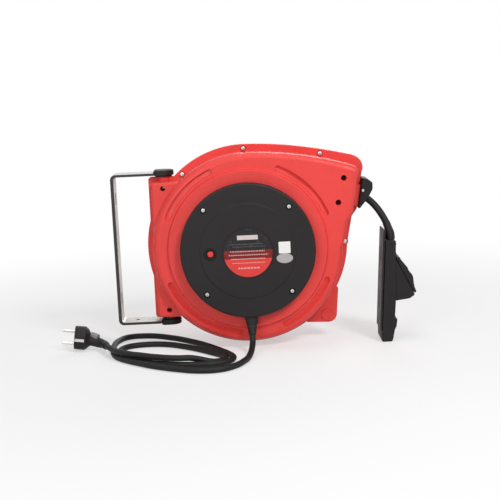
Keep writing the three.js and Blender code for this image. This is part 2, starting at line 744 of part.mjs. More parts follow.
add("terminal_cover", terminalCover(), blackPlastic);
add("supply_boot", loft(bootLean, 16, new THREE.Vector3(1, 0, 0)), rubber);
const labelBack = labelRecessDepth - gap;
add("rating_label", disc(labelRadius, labelBack - labelThickness, labelBack, 36, 0, up(-labelDrop)), labelFilm);
const stickerY = -gap;
const squareHalf = squareSticker / 2;
add(
  "square_sticker",
  block(stickerX - squareHalf, stickerX + squareHalf, stickerY - stickerThickness, stickerY, up(-3.6), up(-3.6) + squareSticker),
  whiteFilm,
);
const oval = new THREE.Shape();
oval.absellipse(stickerX, up(-4.1 - ovalStickerHeight / 2), ovalStickerWidth / 2, ovalStickerHeight / 2, 0, 2 * Math.PI);
add("oval_sticker", slab(oval, stickerY - stickerThickness, stickerY, 0, 12), whiteFilm);
let coverScrewCount = 0;
for (const sz of [1, -1]) {
  for (const sx of [-1, 1]) {
    coverScrewCount += 1;
    screwAlongY(
      `cover_screw_${coverScrewCount}`,
      sx * coverScrewOffset,
      up(sz * coverScrewOffset),
      coverStep + screwWellDepth - gap,
      plateauY + 7,
    );
  }
}

// the overload switch behind the cover, and its button
const breakerFront = buttonWellDepth + 2 + gap + buttonTravel;
const breakerBody = roundedRectangle(buttonX - 9, buttonX + 9, up(-buttonDrop) - 7.5, up(-buttonDrop) + 7.5, 1.5);
add("overload_switch", slab(breakerBody, breakerFront, plateauY - gap), blackPlastic);
const buttonProfile = [
  [0, 1.2],
  [buttonRadius - 1.2, 1.2],
  [buttonRadius, 2.2],
  [buttonRadius, breakerFront - buttonTravel - gap],
  [0, breakerFront - buttonTravel - gap],
];
add("reset_button", turned(buttonProfile, 14, buttonX, up(-buttonDrop)), redPlastic);
add("terminal_block", block(-14, 16, coverStep + coverWall + 4, plateauY - gap, up(-78), up(-64)), greyPlastic);

// ---------------------------------------------------------------- axle and slip-ring contacts
const rearSeat = depthAt(rear, halfDepth - rearHubDepth) + gap;
const axleProfile = [
  [0, plateauY - 5],
  [axleRadius - 1, plateauY - 5],
  [axleRadius, plateauY - 4],
  [axleRadius, rearSeat],
  [17, rearSeat],
  [17, rearSeat + 2],
  [11, rearSeat + 2],
  [10, rearSeat + 4.2],
  [0, rearSeat + 4.2],
];
add("axle", turned(axleProfile, 16), zincSteel);

const slipFace = depthAt(front, drumHalf + drumFlangeThickness + slipRise);
const slipBack = depthAt(front, drumHalf + drumFlangeThickness) - gap;
const slipCarrier = slipFace + slipLedge;
const slipRim = slipRings[2] + slipRingHalf + 1;
const slipProfile = [
  [slipBore, slipBack],
  [slipBore, slipCarrier],
];
for (const radius of slipRings) {
  const [near, far] = [radius - slipRingHalf, radius + slipRingHalf];
  slipProfile.push([near, slipCarrier], [near, slipFace], [far, slipFace], [far, slipCarrier]);
}
slipProfile.push([slipRim, slipCarrier], [slipRim, slipBack]);
add("slip_ring", turned(slipProfile, 16), brass);

const holderBack = plateauY + shellWall + gap;
const holderFront = slipFace - brushReach;
const holderSpan = [up(slipRings[0] - brushHalf - holderWall), up(slipRings[2] + brushHalf + holderWall)];
let holder = block(-holderHalf, holderHalf, holderBack, holderFront, ...holderSpan);
for (const radius of slipRings) {
  const slot = brushHalf + gap;
  holder = cut(holder, block(-slot, slot, holderBack + 1.5, holderFront + 1, up(radius - slot), up(radius + slot)));
}
add("brush_holder", holder, greyPlastic);
["line", "neutral", "earth"].forEach((wire, i) => {
  const low = up(slipRings[i] - brushHalf);
  const face = [holderBack + 1.5 + gap, slipFace - gap];
  add(`brush_${wire}`, block(-brushHalf, brushHalf, ...face, low, low + 2 * brushHalf), carbon);
});

// ---------------------------------------------------------------- drum
const drumBore = runningBore(axleRadius, 16);
function drumPart(side) {
  const at = (distance) => depthAt(side, distance);
  const profile = [
    [drumBore, drumHalf - 5],
    [16, drumHalf - 5],
    [16, drumHalf],
    [drumCoreRadius - drumCoreWall, drumHalf],
    [drumCoreRadius - drumCoreWall, seam],
    [drumCoreRadius, seam],
    [drumCoreRadius, drumHalf],
    [drumFlangeRadius, drumHalf],
    [drumFlangeRadius, drumHalf + drumFlangeThickness],
    [drumBore, drumHalf + drumFlangeThickness],
  ];
  return turned(onSide(side, profile), 30);
}

// The ratchet ring on the drum's rear: wide notches with a tooth between each two.
function ratchetRing() {
  const shape = new THREE.Shape();
  const pitch = (2 * Math.PI) / ratchetTeeth;
  const toothHalf = pitch * 0.2;
  for (let i = 0; i < ratchetTeeth; i++) {
    const middle = pawlTurn + pitch * (i + 0.5);
    for (const [radius, offset] of [
      [ratchetRootRadius, -toothHalf - 0.04],
      [ratchetTipRadius, -toothHalf],
      [ratchetTipRadius, toothHalf],
      [ratchetRootRadius, toothHalf + 0.04],
    ]) {
      const [x, z] = [radius * Math.cos(middle + offset), up(radius * Math.sin(middle + offset))];
      if (i === 0 && offset === -toothHalf - 0.04) shape.moveTo(x, z);
      else shape.lineTo(x, z);
    }
  }
  shape.closePath();
  shape.holes.push(circle(ratchetRootRadius - 6, 0, axisZ));
  return slab(shape, depthAt(rear, ratchetPlane - 1), depthAt(rear, ratchetPlane + ratchetDepth), 0, 8);
}
add("drum_front", drumPart(front), greyPlastic);
add("drum_rear", join(drumPart(rear), ratchetRing()), greyPlastic);

// The wound cable: plain inner layers with the outer layer as one unbroken helix over them.
class WindingCurve extends THREE.Curve {
  getPoint(t, target = new THREE.Vector3()) {
    const start = THREE.MathUtils.degToRad(80.5);
    const angle = start - 2 * Math.PI * windingTurns * (1 - t);
    const travel = (windingTurns * windingPitch) / 2;
    const sink = Math.max(0, 1 - t * windingTurns * 4) * reelCordDiameter;
    const radius = windingRadius - sink;
    return target.set(radius * Math.cos(angle), partingY - travel + 2 * travel * t, up(radius * Math.sin(angle)));
  }
}
const winding = new WindingCurve();
winding.arcLengthDivisions = 1200;
leastGap("cable_winding", winding, reelCordDiameter);
const innerLayers = ring(
  drumCoreRadius + gap,
  windingRadius - cordRadius - innerLayerRoom,
  depthAt(front, drumHalf - gap),
  depthAt(rear, drumHalf - gap),
  30,
);
const outerLayer = solid(tube(winding, cordRadius, 6, Math.round(windingTurns * 16)));
add("cable_winding", join(innerLayers, outerLayer), cordSheath);

// The mainspring: a flat strip wound from the axle out to the drum's core.
function mainspring() {
  const steps = springTurns * 12;
  const innerRadius = axleRadius + gap + springStrip;
  const outerRadius = drumCoreRadius - drumCoreWall - gap - springStrip;
  const positions = [];
  const edge = (k, offset, y) => {
    const t = k / steps;
    const radius = innerRadius + (outerRadius - innerRadius) * t + offset;
    const angle = 2 * Math.PI * springTurns * t;
    return [radius * Math.cos(angle), y, up(radius * Math.sin(angle))];
  };
  const [y0, y1] = [partingY - springHeight / 2, partingY + springHeight / 2];
  const section = (k) => [
    edge(k, 0, y0),
    edge(k, springStrip, y0),
    edge(k, springStrip, y1),
    edge(k, 0, y1),
  ];
  for (let k = 0; k < steps; k++) {
    const [here, next] = [section(k), section(k + 1)];
    for (let i = 0; i < 4; i++) {
      const j = (i + 1) % 4;
      positions.push(...here[i], ...here[j], ...next[j], ...here[i], ...next[j], ...next[i]);
    }
  }
  const [first, last] = [section(0), section(steps)];
  positions.push(...first[0], ...first[2], ...first[1], ...first[0], ...first[3], ...first[2]);
  positions.push(...last[0], ...last[1], ...last[2], ...last[0], ...last[2], ...last[3]);
  const geometry = new THREE.BufferGeometry();
  geometry.setAttribute("position", new THREE.Float32BufferAttribute(positions, 3));
  return solid(geometry);
}
add("mainspring", mainspring(), springSteel);

// ---------------------------------------------------------------- ratchet pawl
const restTurn = pawlTurn + THREE.MathUtils.degToRad(pawlRest);
const inward = new THREE.Vector2(-Math.cos(restTurn), -Math.sin(restTurn));
const sideways = new THREE.Vector2(-inward.y, inward.x);
const pawlPoint = (along, across) => {
  const p = pawlPin.clone().addScaledVector(inward, along).addScaledVector(sideways, across);
  return [p.x, p.y];
};
const pawlBlade = polygon([
  pawlPoint(-9, -3),
  pawlPoint(0, -6),
  pawlPoint(pawlLength, -2.2),
  pawlPoint(pawlLength, 2.2),
  pawlPoint(0, 6),
  pawlPoint(-9, 3),
]);
const pawlSpan = [depthAt(rear, pawlPlane), depthAt(rear, pawlPlane + pawlThickness)];
const pawlBody = join(slab(pawlBlade, ...pawlSpan), disc(6.5, ...pawlSpan, 16, pawlPin.x, pawlPin.y));
const pawlBore = disc(runningBore(pawlPinThickness / 2, 12), 0, 200, 12, pawlPin.x, pawlPin.y);
const pawlPinSpan = [depthAt(rear, pawlPlane - 0.5), depthAt(rear, halfDepth - shellWall - gap)];
add("ratchet_pawl", cut(pawlBody, pawlBore), springSteel);
add(
  "pawl_pin",
  disc(pawlPinThickness / 2, ...pawlPinSpan, 12, pawlPin.x, pawlPin.y),
  zincSteel,
);
const springCurl = [];
for (let i = 0; i <= 24; i++) {
  const angle = (2 * Math.PI * i) / 8;
  springCurl.push([
    pawlPin.x + 8.6 * Math.cos(angle),
    depthAt(rear, pawlPlane + pawlThickness + 1.4 + i * 0.2),
    pawlPin.y + 8.6 * Math.sin(angle),
  ]);
}
add("pawl_spring", solid(tube(routeThrough(springCurl), 0.6, 5, 24)), springSteel);

// ---------------------------------------------------------------- rollers at the mouth
rollerPins.forEach((pin, i) => {
  const place = ["upper", "lower"][i];
  const bore = runningBore(rollerPinRadius, 12);
  const half = rollerLength / 2;
  const profile = [
    [bore, -half],
    [rollerRadius - 1.2, -half],
    [rollerRadius, -half + 1.2],
    [rollerRadius - 0.8, -half / 2],
    [rollerRadius - 0.8, half / 2],
    [rollerRadius, half - 1.2],
    [rollerRadius - 1.2, half],
    [bore, half],
  ].map(([r, d]) => [r, partingY + d]);
  add(`roller_${place}`, turned(profile, 20, pin.x, pin.y), blackPlastic);
  const reach = faceDepth - pinRecess;
  add(
    `roller_pin_${place}`,
    disc(rollerPinRadius, depthAt(front, reach), depthAt(rear, reach), 12, pin.x, pin.y),
    zincSteel,
  );
});

// ---------------------------------------------------------------- reeled cable and its stop
const stopPlace = (along, outward) => {
  const p = mouthMid.clone().addScaledVector(mouthLine, along).addScaledVector(mouthOut, outward);
  return [p.x, p.y];
};
const stopShape = polygon([
  stopPlace(-18.5, gap),
  stopPlace(-18.5, 3.2),
  stopPlace(-6.2, 10.6),
  stopPlace(2.5, 14.7),
  stopPlace(12.2, 18.2),
  stopPlace(21.7, 16.8),
  stopPlace(26.5, 7.8),
  stopPlace(27, gap),
]);
const cableChannel = solid(tube(new Stretch(cableRoute, ...channelStretch), cordRadius + gap, 10, 12));
const [stopScrewX, stopScrewZ] = stopPlace(8.6, 3.8);
const stopHole = disc(stopScrewRadius + gap, 0, 200, 10, stopScrewX, stopScrewZ);
const stopFront = slab(stopShape, partingY - stopDepth / 2, partingY - seam, 0);
const stopRear = slab(stopShape, partingY + seam, partingY + stopDepth / 2, 0);
add("cable_stop_front", cut(stopFront, cableChannel, stopHole), rubber, true);
add("cable_stop_rear", cut(stopRear, cableChannel, stopHole), rubber, true);
const stopScrew = [
  [0, partingY - stopDepth / 2 - gap - 1.8],
  [2, partingY - stopDepth / 2 - gap - 1.8],
  [2.3, partingY - stopDepth / 2 - gap],
  [stopScrewRadius, partingY - stopDepth / 2 - gap],
  [stopScrewRadius, partingY + stopDepth / 2 - 3],
  [0, partingY + stopDepth / 2 - 3],
];
add("stop_screw", turned(stopScrew, 10, stopScrewX, stopScrewZ), zincSteel, true);

const bootTop = cableRoute.getLength() - socketBootLength - gap;
add("output_cord_lead", solid(tube(new Stretch(cableRoute, 0, stopEnd), cordRadius, 8, 14)), cordSheath, true);
add("output_cord", solid(tube(new Stretch(cableRoute, stopEnd + gap, bootTop), cordRadius, 10, 12)), cordSheath, true);

// ---------------------------------------------------------------- outlet socket
const faceTurn = THREE.MathUtils.degToRad(towerFaceTilt);
const faceDown = new THREE.Vector3(Math.sin(faceTurn), 0, -Math.cos(faceTurn));
const faceOut = new THREE.Vector3(Math.cos(faceTurn), 0, Math.sin(faceTurn));
const hung = (right, rise) => [outletX + right, outletZ + rise]; // from where the cable enters the boot
const faceTop = new THREE.Vector3(outletX + 7.2, socketMidY, outletZ - 30.9);
const facePoint = (down, out) => faceTop.clone().addScaledVector(faceDown, down).addScaledVector(faceOut, out);
const flat = (p) => [p.x, p.z];
const [socketFront, socketBack] = [socketMidY - socketDepth / 2, socketMidY + socketDepth / 2];

function socketBody() {
  const trunk = polygon([
    hung(-18.6, -151.8),
    hung(-3.1, -151.8),
    hung(-1.2, -145.8),
    hung(1, -134.3),
    hung(3.8, -128.8),
    hung(5.3, -117.8),
    hung(1.6, -116.3),
    hung(3.6, -91.8),
    hung(5.8, -gap),
    hung(-9.2, -gap),
    hung(-17.3, -134.6),
    hung(-18.7, -134.6),
  ]);
  const tower = polygon([
    hung(-4, -27.4),
    hung(4.4, -27.4),
    flat(faceTop),
    flat(facePoint(towerFaceLength, 0)),
    hung(24.5, -88.3),
    hung(-4, -91.8),
  ]);
  const body = join(
    slab(trunk, socketFront, socketBack),
    slab(tower, socketMidY - towerDepth / 2, socketMidY + towerDepth / 2),
  );
  const middle = towerFaceLength / 2;
  const well = bar(facePoint(middle, 1), facePoint(middle, -wellDepth), wellRadius, 28);
  const pocket = bar(facePoint(middle, 0), facePoint(middle, -wellDepth - insertThickness - gap), wellRadius - 2, 24);
  const hinge = bar(hingeEnd(-towerDepth), hingeEnd(towerDepth), lidBarrel + 0.5, 12);
  return cut(body, well, pocket, hinge);
}
const hingeAt = facePoint(-1.5, 3.4);
const hingeEnd = (offset) => hingeAt.clone().add(new THREE.Vector3(0, offset, 0));

function socketInsert() {
  const middle = towerFaceLength / 2;
  const radius = wellRadius - 2 - gap;
  let body = bar(facePoint(middle, -wellDepth), facePoint(middle, -wellDepth - insertThickness), radius, 24);
  for (const y of [-contactSpacing / 2, contactSpacing / 2]) {
    const shift = new THREE.Vector3(0, y, 0);
    const hole = bar(
      facePoint(middle, -wellDepth + 1).add(shift),
      facePoint(middle, -wellDepth - insertThickness + 2).add(shift),
      contactHoleRadius,
      10,
    );
    body = cut(body, hole);
  }
  return body;
}

// The lid: a domed flap with a thicker lower half, its barrel on the hinge line and a rim that seals the well.
function socketLid() {
  const outline = polygon([
    flat(facePoint(1.5, gap)),
    flat(facePoint(3, 6)),
    flat(facePoint(16.3, 9)),
    flat(facePoint(23.5, 7.9)),
    flat(facePoint(28.8, 10.2)),
    flat(facePoint(34, 9.4)),
    flat(facePoint(40.5, 6.7)),
    flat(facePoint(48, 4.6)),
    flat(facePoint(54.6, 4.2)),
    flat(facePoint(55.6, gap)),
  ]);
  const half = towerDepth / 2 - 1;
  const flap = slab(outline, socketMidY - half, socketMidY + half);
  const barrel = bar(hingeEnd(-half), hingeEnd(half), lidBarrel, 12);
  const web = slab(
    polygon([flat(hingeAt), flat(facePoint(3.4, 1.2)), flat(facePoint(5, 6.2)), flat(facePoint(0, 5.6))]),
    socketMidY - half,
    socketMidY + half,
  );
  return join(flap, barrel, web);
}

const backPlate = polygon([
  hung(-20.6, -134.1),
  hung(-17.8, -134.1),
  hung(-10.8, -12.8),
  hung(-9, 15.6),
  hung(-12.1, 16.2),
]);
// The boot's stations: its distance from the body, and its half widths.
const socketBootStations = [
  [0, 7.2, 12],
  [8, 7.2, 10.5],
  [12, 6.3, 8.5],
  [16, 5.8, 7.2],
  [socketBootLength, 5.5, 5.9],
].map(([distance, wide, high]) => {
  const u = 1 - distance / cableRoute.getLength();
  const heading = distance > 0 ? cableRoute.getTangentAt(u).negate() : new THREE.Vector3(0, 0, 1);
  return { at: cableRoute.getPointAt(u).toArray(), heading: heading.toArray(), wide, high };
});

add("socket_body", socketBody(), rubber, true);
add("socket_back_plate", slab(backPlate, socketFront + 2, socketBack - 2), blackPlastic, true);
add("socket_insert", socketInsert(), greyPlastic, true);
add("socket_lid", socketLid(), rubber, true);
add("socket_boot", loft(socketBootStations, 16, new THREE.Vector3(1, 0, 0)), rubber, true);

// ---------------------------------------------------------------- wall bracket
const strapX = pivotX - bracketReach; // the wall face

// An arm from above: full width up to the cap, then narrowed to a round end about the pivot.
function armShape(startX, half, endRadius) {
  const narrowX = pivotX - capReach - gap;
  const shape = new THREE.Shape();
  shape.moveTo(startX, partingY - half);
  shape.lineTo(narrowX, partingY - half);
  shape.lineTo(narrowX, partingY - endRadius);
  shape.lineTo(pivotX, partingY - endRadius);
  shape.absarc(pivotX, partingY, endRadius, -Math.PI / 2, Math.PI / 2);
  shape.lineTo(narrowX, partingY + endRadius);
  shape.lineTo(narrowX, partingY + half);
  shape.lineTo(startX, partingY + half);
  shape.closePath();
  return shape;
}

function wallBracket() {
  const [low, high] = [up(-armRise) - bracketThickness / 2, up(armRise) + bracketThickness / 2];
  const right = pivotX + bracketWidth / 2;
  const outside = roundedRectangle(strapX, right + 60, low, high, bracketBend);
  const inside = roundedRectangle(
    strapX + bracketThickness,
    right + 50,
    low + bracketThickness,
    high - bracketThickness,
    bracketBend - bracketThickness,
  );
  outside.holes.push(inside);
  const [y0, y1] = [partingY - bracketWidth / 2, partingY + bracketWidth / 2];
  const plan = armShape(strapX - 1, bracketWidth / 2, armEndRadius);
  const strap = slab(outside, y0, y1).intersect(plate(plan, low - 1, high + 1));
  const wallSlot = (rise) => {
    const [z0, z1] = [up(rise) - slotLength / 2, up(rise) + slotLength / 2];
    const slot = roundedRectangle(-slotWidth / 2, slotWidth / 2, z0, z1, slotWidth / 2 - 0.01);
    const through = new THREE.ExtrudeGeometry(slot, { depth: 20, bevelEnabled: false, curveSegments: 3 });
    through.rotateX(Math.PI / 2).rotateZ(Math.PI / 2);
    return solid(through.translate(strapX - 5, partingY, 0));
  };
  const pin = bar(
    new THREE.Vector3(pivotX, partingY, low - 1),
    new THREE.Vector3(pivotX, partingY, high + 1),
    pivotPinRadius + gap,
    16,
  );
  const armHole = bar(
    new THREE.Vector3(pivotX - armHoleReach, partingY, low - 1),
    new THREE.Vector3(pivotX - armHoleReach, partingY, low + bracketThickness + 1),
    3,
    10,
  );
  return cut(strap, wallSlot(slotRise), wallSlot(-slotRise), pin, armHole);
}
add("wall_bracket", wallBracket(), zincSteel);

// A plastic cap round each arm's end, with a washer face towards the housing, and its pivot pin.
for (const [place, direction] of [
  ["upper", 1],
  ["lower", -1],
]) {
  const armMid = up(direction * armRise);
  const near = up(direction * (pivotBoxHalfHeight + gap));
  const slotHalf = bracketThickness / 2 + gap;
  const slotNear = armMid - direction * slotHalf;
  const capNear = slotNear - direction * 0.4;
  const far = armMid + direction * (bracketThickness / 2 + capWall);
  const open = pivotX - capReach;
  const shape = new THREE.Shape();
  shape.moveTo(open, partingY - capHalf + 3);
  shape.lineTo(open + 3, partingY - capHalf);
  shape.lineTo(pivotX, partingY - capHalf);
  shape.absarc(pivotX, partingY, capHalf, -Math.PI / 2, Math.PI / 2);
  shape.lineTo(open + 3, partingY + capHalf);
  shape.lineTo(open, partingY + capHalf - 3);
  shape.closePath();
  const capBody = plate(shape, Math.min(capNear, far), Math.max(capNear, far));
  const washer = bar(new THREE.Vector3(pivotX, partingY, near), new THREE.Vector3(pivotX, partingY, slotNear), washerRadius, 20);
  const armSpace = plate(armShape(strapX, armEndRadius + gap, armEndRadius + gap), armMid - slotHalf, armMid + slotHalf);
  const pinTop = new THREE.Vector3(pivotX, partingY, armMid + direction * (bracketThickness / 2));
  const pinRoot = new THREE.Vector3(pivotX, partingY, up(direction * (pivotBoxHalfHeight - pivotPinDepth)));
  const pinSpace = bar(pinRoot, pinTop, pivotPinRadius + gap, 16);
  const cap = cut(join(capBody, washer), armSpace, pinSpace);
  add(`bracket_cap_${place}`, cap, blackPlastic);
  add(`pivot_pin_${place}`, bar(pinRoot, pinTop, pivotPinRadius, 16), zincSteel);
}

// ---------------------------------------------------------------- supply cord and plug
const floorZ = supplyRadius + 0.1; // a strand's axis when it lies on the floor
const bootTip = bootLean[bootLean.length - 1];
const tipShare = (share) => floorZ + share * (bootTip.at[2] - floorZ); // a height between the floor's and the tip's
const supplyRoute = routeThrough([
  bootTip.at,
  [1, -5.6, tipShare(0.611)],
  [0, -15.5, tipShare(0.356)],
  [-2.5, -31, tipShare(0.128)],
  [-7, -50, floorZ],
  // first loop
  [-12, -64, floorZ],
  [-18.3, -78, floorZ],
  [-26.6, -89.9, floorZ],
  [-39, -101, floorZ],
  [-55.4, -106.5, floorZ],
  [-73.3, -105.6, floorZ],
  [-87.3, -101.6, floorZ],
  [-101.4, -94.5, floorZ],
  [-115.7, -86.7, floorZ],
  [-130.3, -77.3, floorZ],
  [-145.1, -66.6, floorZ],
  [-160.5, -52.5, floorZ],
  [-176, -38.1, floorZ],
  [-190.7, -21.4, floorZ],
  [-199.5, -6.6, floorZ],
  [-205.1, 13.1, floorZ],
  [-207.7, 36.4, floorZ],
  [-209, 61.3, floorZ],
  [-207.3, 81.2, floorZ],
  [-203.5, 94, floorZ],
  [-199, 104.5, floorZ],
  [-192.5, 111.5, floorZ],
  [-184, 115.3, floorZ],
  [-175, 116.2, floorZ],
  [-159.2, 114.5, floorZ],
  [-143.1, 108.1, floorZ],
  [-126.8, 97, floorZ],
  [-110.6, 84.1, floorZ],
  [-94.5, 67.5, floorZ],
  [-78.6, 49.4, floorZ],
  [-63, 27.9, floorZ],
  [-47.7, 3.9, floorZ],
  [-37.2, -14.5, floorZ],
  [-29.8, -30.3, floorZ],
  [-27.3, -40.4, floorZ],
  // second loop, inside the first
  [-29, -52, floorZ],
  [-35, -63, floorZ],
  [-47, -71, floorZ],
  [-60, -74, floorZ],
  [-74.4, -74, floorZ],
  [-88, -72, floorZ],
  [-102, -69.5, floorZ],
  [-116.5, -65, floorZ],
  [-131, -59, floorZ],
  [-145.7, -51.5, floorZ],
  [-160.2, -38.8, floorZ],
  [-175, -23.5, floorZ],
  [-187, -8, floorZ],
  [-194.5, 10, floorZ],
  [-196.8, 26, floorZ],
  [-194, 39, floorZ],
  [-187, 49, floorZ],
  [-176, 55.5, floorZ],
  [-163, 58.5, floorZ],
  [-148, 58.5, floorZ],
  [-133, 55, floorZ],
  [-118, 47.5, floorZ],
  [-103, 36.5, floorZ],
  [-88, 23.5, floorZ],
  [-73, 8, floorZ],
  [-60, -7.5, floorZ],
  [-53, -15.7, floorZ],
  [-44.3, -25.9, floorZ],
  [-40, -34.5, floorZ],
  [-38.6, -42.5, floorZ],
  [-40.5, -51, floorZ],
  [-45.5, -58, floorZ],
  // the last loop climbs onto the second and crosses both at the left
  [-53.5, -62.8, 5],
  [-63, -64.8, 6.9],
  [-75, -66, 10.3],
  [-88, -68.3, 13.3],
  [-102, -69, 13.8],
  [-116.5, -65.5, 13.8],
  [-131, -59.5, 13.8],
  [-145.7, -52, 13.8],
  [-160.5, -42.5, 13.8],
  [-174.2, -34.5, 13.8],
  [-184, -26, 13.8],
  [-195, -15.5, 13.8],
  [-205.7, 2, 13.6],
  [-210.5, 12.5, 13.4],
  [-214.3, 23, 12.6],
  [-217.5, 31.5, 11.7],
]);
leastGap("supply_cord", supplyRoute, supplyCordDiameter);

const supplyLength = supplyRoute.getLength();
const coilEnd = supplyLength - coilTail;
console.log(`supply cord from boot to plug: ${supplyLength.toFixed(0)} mm`);
console.log(`output cord from stop to boot: ${(bootTop - stopEnd).toFixed(0)} mm`);
const coilSteps = 64;
add("supply_cord", solid(tube(new Stretch(supplyRoute, gap, coilStart), supplyRadius, 8, 5)), cordSheath, true);
const coilTube = tube(new Stretch(supplyRoute, coilStart + gap, coilEnd), supplyRadius, 6, coilSteps);
add("supply_cord_loops", solid(coilTube), cordSheath, true);
const tailTube = tube(new Stretch(supplyRoute, coilEnd + gap, supplyLength - gap), supplyRadius, 8, 5);
add("supply_cord_tail", solid(tailTube), cordSheath, true);

const heading = THREE.MathUtils.degToRad(plugHeading);
const pitch = THREE.MathUtils.degToRad(plugPitch);
const turnedAlong = (turn) => {
  const bend = THREE.MathUtils.degToRad(turn);
  const level = new THREE.Vector3(Math.cos(heading - bend), Math.sin(heading - bend), 0);
  return level.multiplyScalar(Math.cos(pitch)).setZ(-Math.sin(pitch));
};
const plugAlong = turnedAlong(0);
const plugSide = new THREE.Vector3(-Math.sin(heading), Math.cos(heading), 0);
const plugUp = plugAlong.clone().cross(plugSide);
const plugFace = new THREE.Vector3(plugFaceX, plugFaceY, plugFaceZ);
const plugPoint = (along, side = 0, rise = 0) =>
  plugFace.clone().addScaledVector(plugAlong, along).addScaledVector(plugSide, side).addScaledVector(plugUp, rise);

// A station of the plug: its distance from the face, half widths, rise and shift, and how far it's turned
// towards the cord.
const plugStation = ([along, wide, high, rise, side, turn]) => ({
  at: plugPoint(along, side, rise).toArray(),
  heading: turnedAlong(turn).toArray(),
  wide,
  high,
});

function plugBody() {
  const stations = [
    [0, plugRadius - 1, plugRadius - 1, 0, 0, 0],
    [1, plugRadius, plugRadius, 0, 0, 0],
    [plugBodyLength, plugRadius, plugRadius, 0, 0, 0],
    [plugBodyLength + 5, plugRadius - 4, plugRadius - 4, 0, 0, 0],
    [plugBodyLength + 8.5, 10.5, 9, -1.5, -2.5, 6],
    [plugBodyLength + 14, 9.5, 8, -2.5, -4.5, 14],
    [plugBodyLength + 20, 8.8, 7.5, -3.3, -7.2, 28],
    [plugBodyLength + 26, 7.6, 6.8, -3.7, -12, 46],
    [plugBodyLength + 31, 6.6, 6.1, -3, -20.5, 64],
  ].map(plugStation);
  stations.push({
    at: supplyRoute.getPointAt(1).toArray(),
    heading: supplyRoute.getTangentAt(1).negate().toArray(),
    wide: 5.8,
    high: 5.5,
  });
  const skin = loft(stations, 20, plugSide);
  const thumb = [
    [plugBodyLength + 8, 5, 3, 6.5, -2.5, 10],
    [plugBodyLength + 11, 6, 4, 6.2, -3.6, 10],
    [plugBodyLength + 18, 6, 4, 4.4, -6, 20],
    [plugBodyLength + 20, 5, 3, 3.4, -6.8, 20],
  ].map(plugStation);
  const tab = loft(thumb, 10, plugSide);
  const pinHoles = [-1, 1].map((direction) => plugPin(direction, plugPinRadius + gap, gap));
  return cut(join(skin, tab), ...pinHoles, earthYoke(gap));
}
function plugPin(direction, radius, extra) {
  const rise = (direction * contactSpacing) / 2;
  return bar(plugPoint(-plugPinLength, 0, rise), plugPoint(plugPinRoot + extra, 0, rise), radius, 12);
}

// The earth contact: a strip on each side of the plug, joined by a bar through it.
function earthYoke(extra) {
  const halfWidth = 2.2 + extra;
  const strip = (side) => {
    const inner = side * (plugRadius - 1.6 - extra);
    const outer = side * (plugRadius + 0.4 + extra);
    return beam(0.8 - extra, plugBodyLength - 1 + extra, inner, outer, halfWidth);
  };
  const reach = plugRadius - 1;
  return join(strip(-1), strip(1), beam(5 - extra, 8 + extra, -reach, reach, 1 + extra));
}
function beam(along0, along1, side0, side1, halfRise) {
  const geometry = new THREE.BoxGeometry(along1 - along0, Math.abs(side1 - side0), 2 * halfRise);
  geometry.rotateY(pitch).rotateZ(heading);
  const middle = plugPoint((along0 + along1) / 2, (side0 + side1) / 2);
  return solid(geometry.translate(middle.x, middle.y, middle.z));
}
add("plug_body", plugBody(), rubber, true);
add("plug_pin_upper", plugPin(1, plugPinRadius, 0), nickel, true);
add("plug_pin_lower", plugPin(-1, plugPinRadius, 0), nickel, true);
add("plug_earth_clip", earthYoke(0), nickel, true);

// ---------------------------------------------------------------- origin
// The part's origin is under the middle of the reel without its cords, on the floor.
const reelBox = new THREE.Box3();
for (const mesh of assembly.children) {
  if (!cordPieces.has(mesh)) reelBox.expandByObject(mesh);
}
const middle = reelBox.getCenter(new THREE.Vector3());
assembly.position.set(-middle.x, -middle.y, -reelBox.min.z);
console.log(`origin moved by ${(-middle.x).toFixed(2)}, ${(-middle.y).toFixed(2)}, ${(-reelBox.min.z).toFixed(2)}`);
const reel = new THREE.Group();
reel.add(assembly);

export default reel;
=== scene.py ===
import bisect
import math

import bmesh
import bpy
from mathutils import Matrix, Vector


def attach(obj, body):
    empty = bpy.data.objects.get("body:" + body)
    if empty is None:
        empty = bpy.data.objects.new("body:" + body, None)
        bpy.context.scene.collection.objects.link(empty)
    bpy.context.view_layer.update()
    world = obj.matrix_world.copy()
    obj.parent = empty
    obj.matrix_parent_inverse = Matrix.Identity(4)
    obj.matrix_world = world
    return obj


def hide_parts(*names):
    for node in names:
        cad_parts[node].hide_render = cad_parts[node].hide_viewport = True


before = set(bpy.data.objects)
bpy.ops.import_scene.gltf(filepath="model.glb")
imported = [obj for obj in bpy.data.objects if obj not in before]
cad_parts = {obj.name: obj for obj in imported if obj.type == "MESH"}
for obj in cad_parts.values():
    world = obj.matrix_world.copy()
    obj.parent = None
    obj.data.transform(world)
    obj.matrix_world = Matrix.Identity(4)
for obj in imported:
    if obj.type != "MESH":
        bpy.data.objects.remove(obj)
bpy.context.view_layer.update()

# ---- the reel's own frame
# Lengths are in millimetres: X runs to the right along the front, Y into the reel from the cover's face,
# Z up from the floor. dress and cable move what they make to the row's frame, in metres.
TO_ROW = Matrix.Scale(0.001, 4) @ Matrix.Translation((11.5, -63.45, 0.0))
AXIS_Z = 150.0
MID_Y = 75.0  # the plane between the housing's two halves
AXIS = Vector((0, AXIS_Z))
FRONT, REAR = -1, 1
SIDES = (-1, 1)
SQUARE = ((-1, -1), (1, -1), (1, 1), (-1, 1))  # the signs of a square's corners
GAP = 0.3
OVER = 1.0  # how far a cutter runs past what it cuts
CABLE_R = 5.2
SUPPLY_R = 4.4
ACROSS, INWARD = Vector((1, 0, 0)), Vector((0, 1, 0))

scene = bpy.context.scene


def up(rise):
    return AXIS_Z + rise


def row(x, y, z):
    return TO_ROW @ Vector((x, y, z))


def add_object(name, data):
    made = bpy.data.objects.new(name, data)
    scene.collection.objects.link(made)
    return made


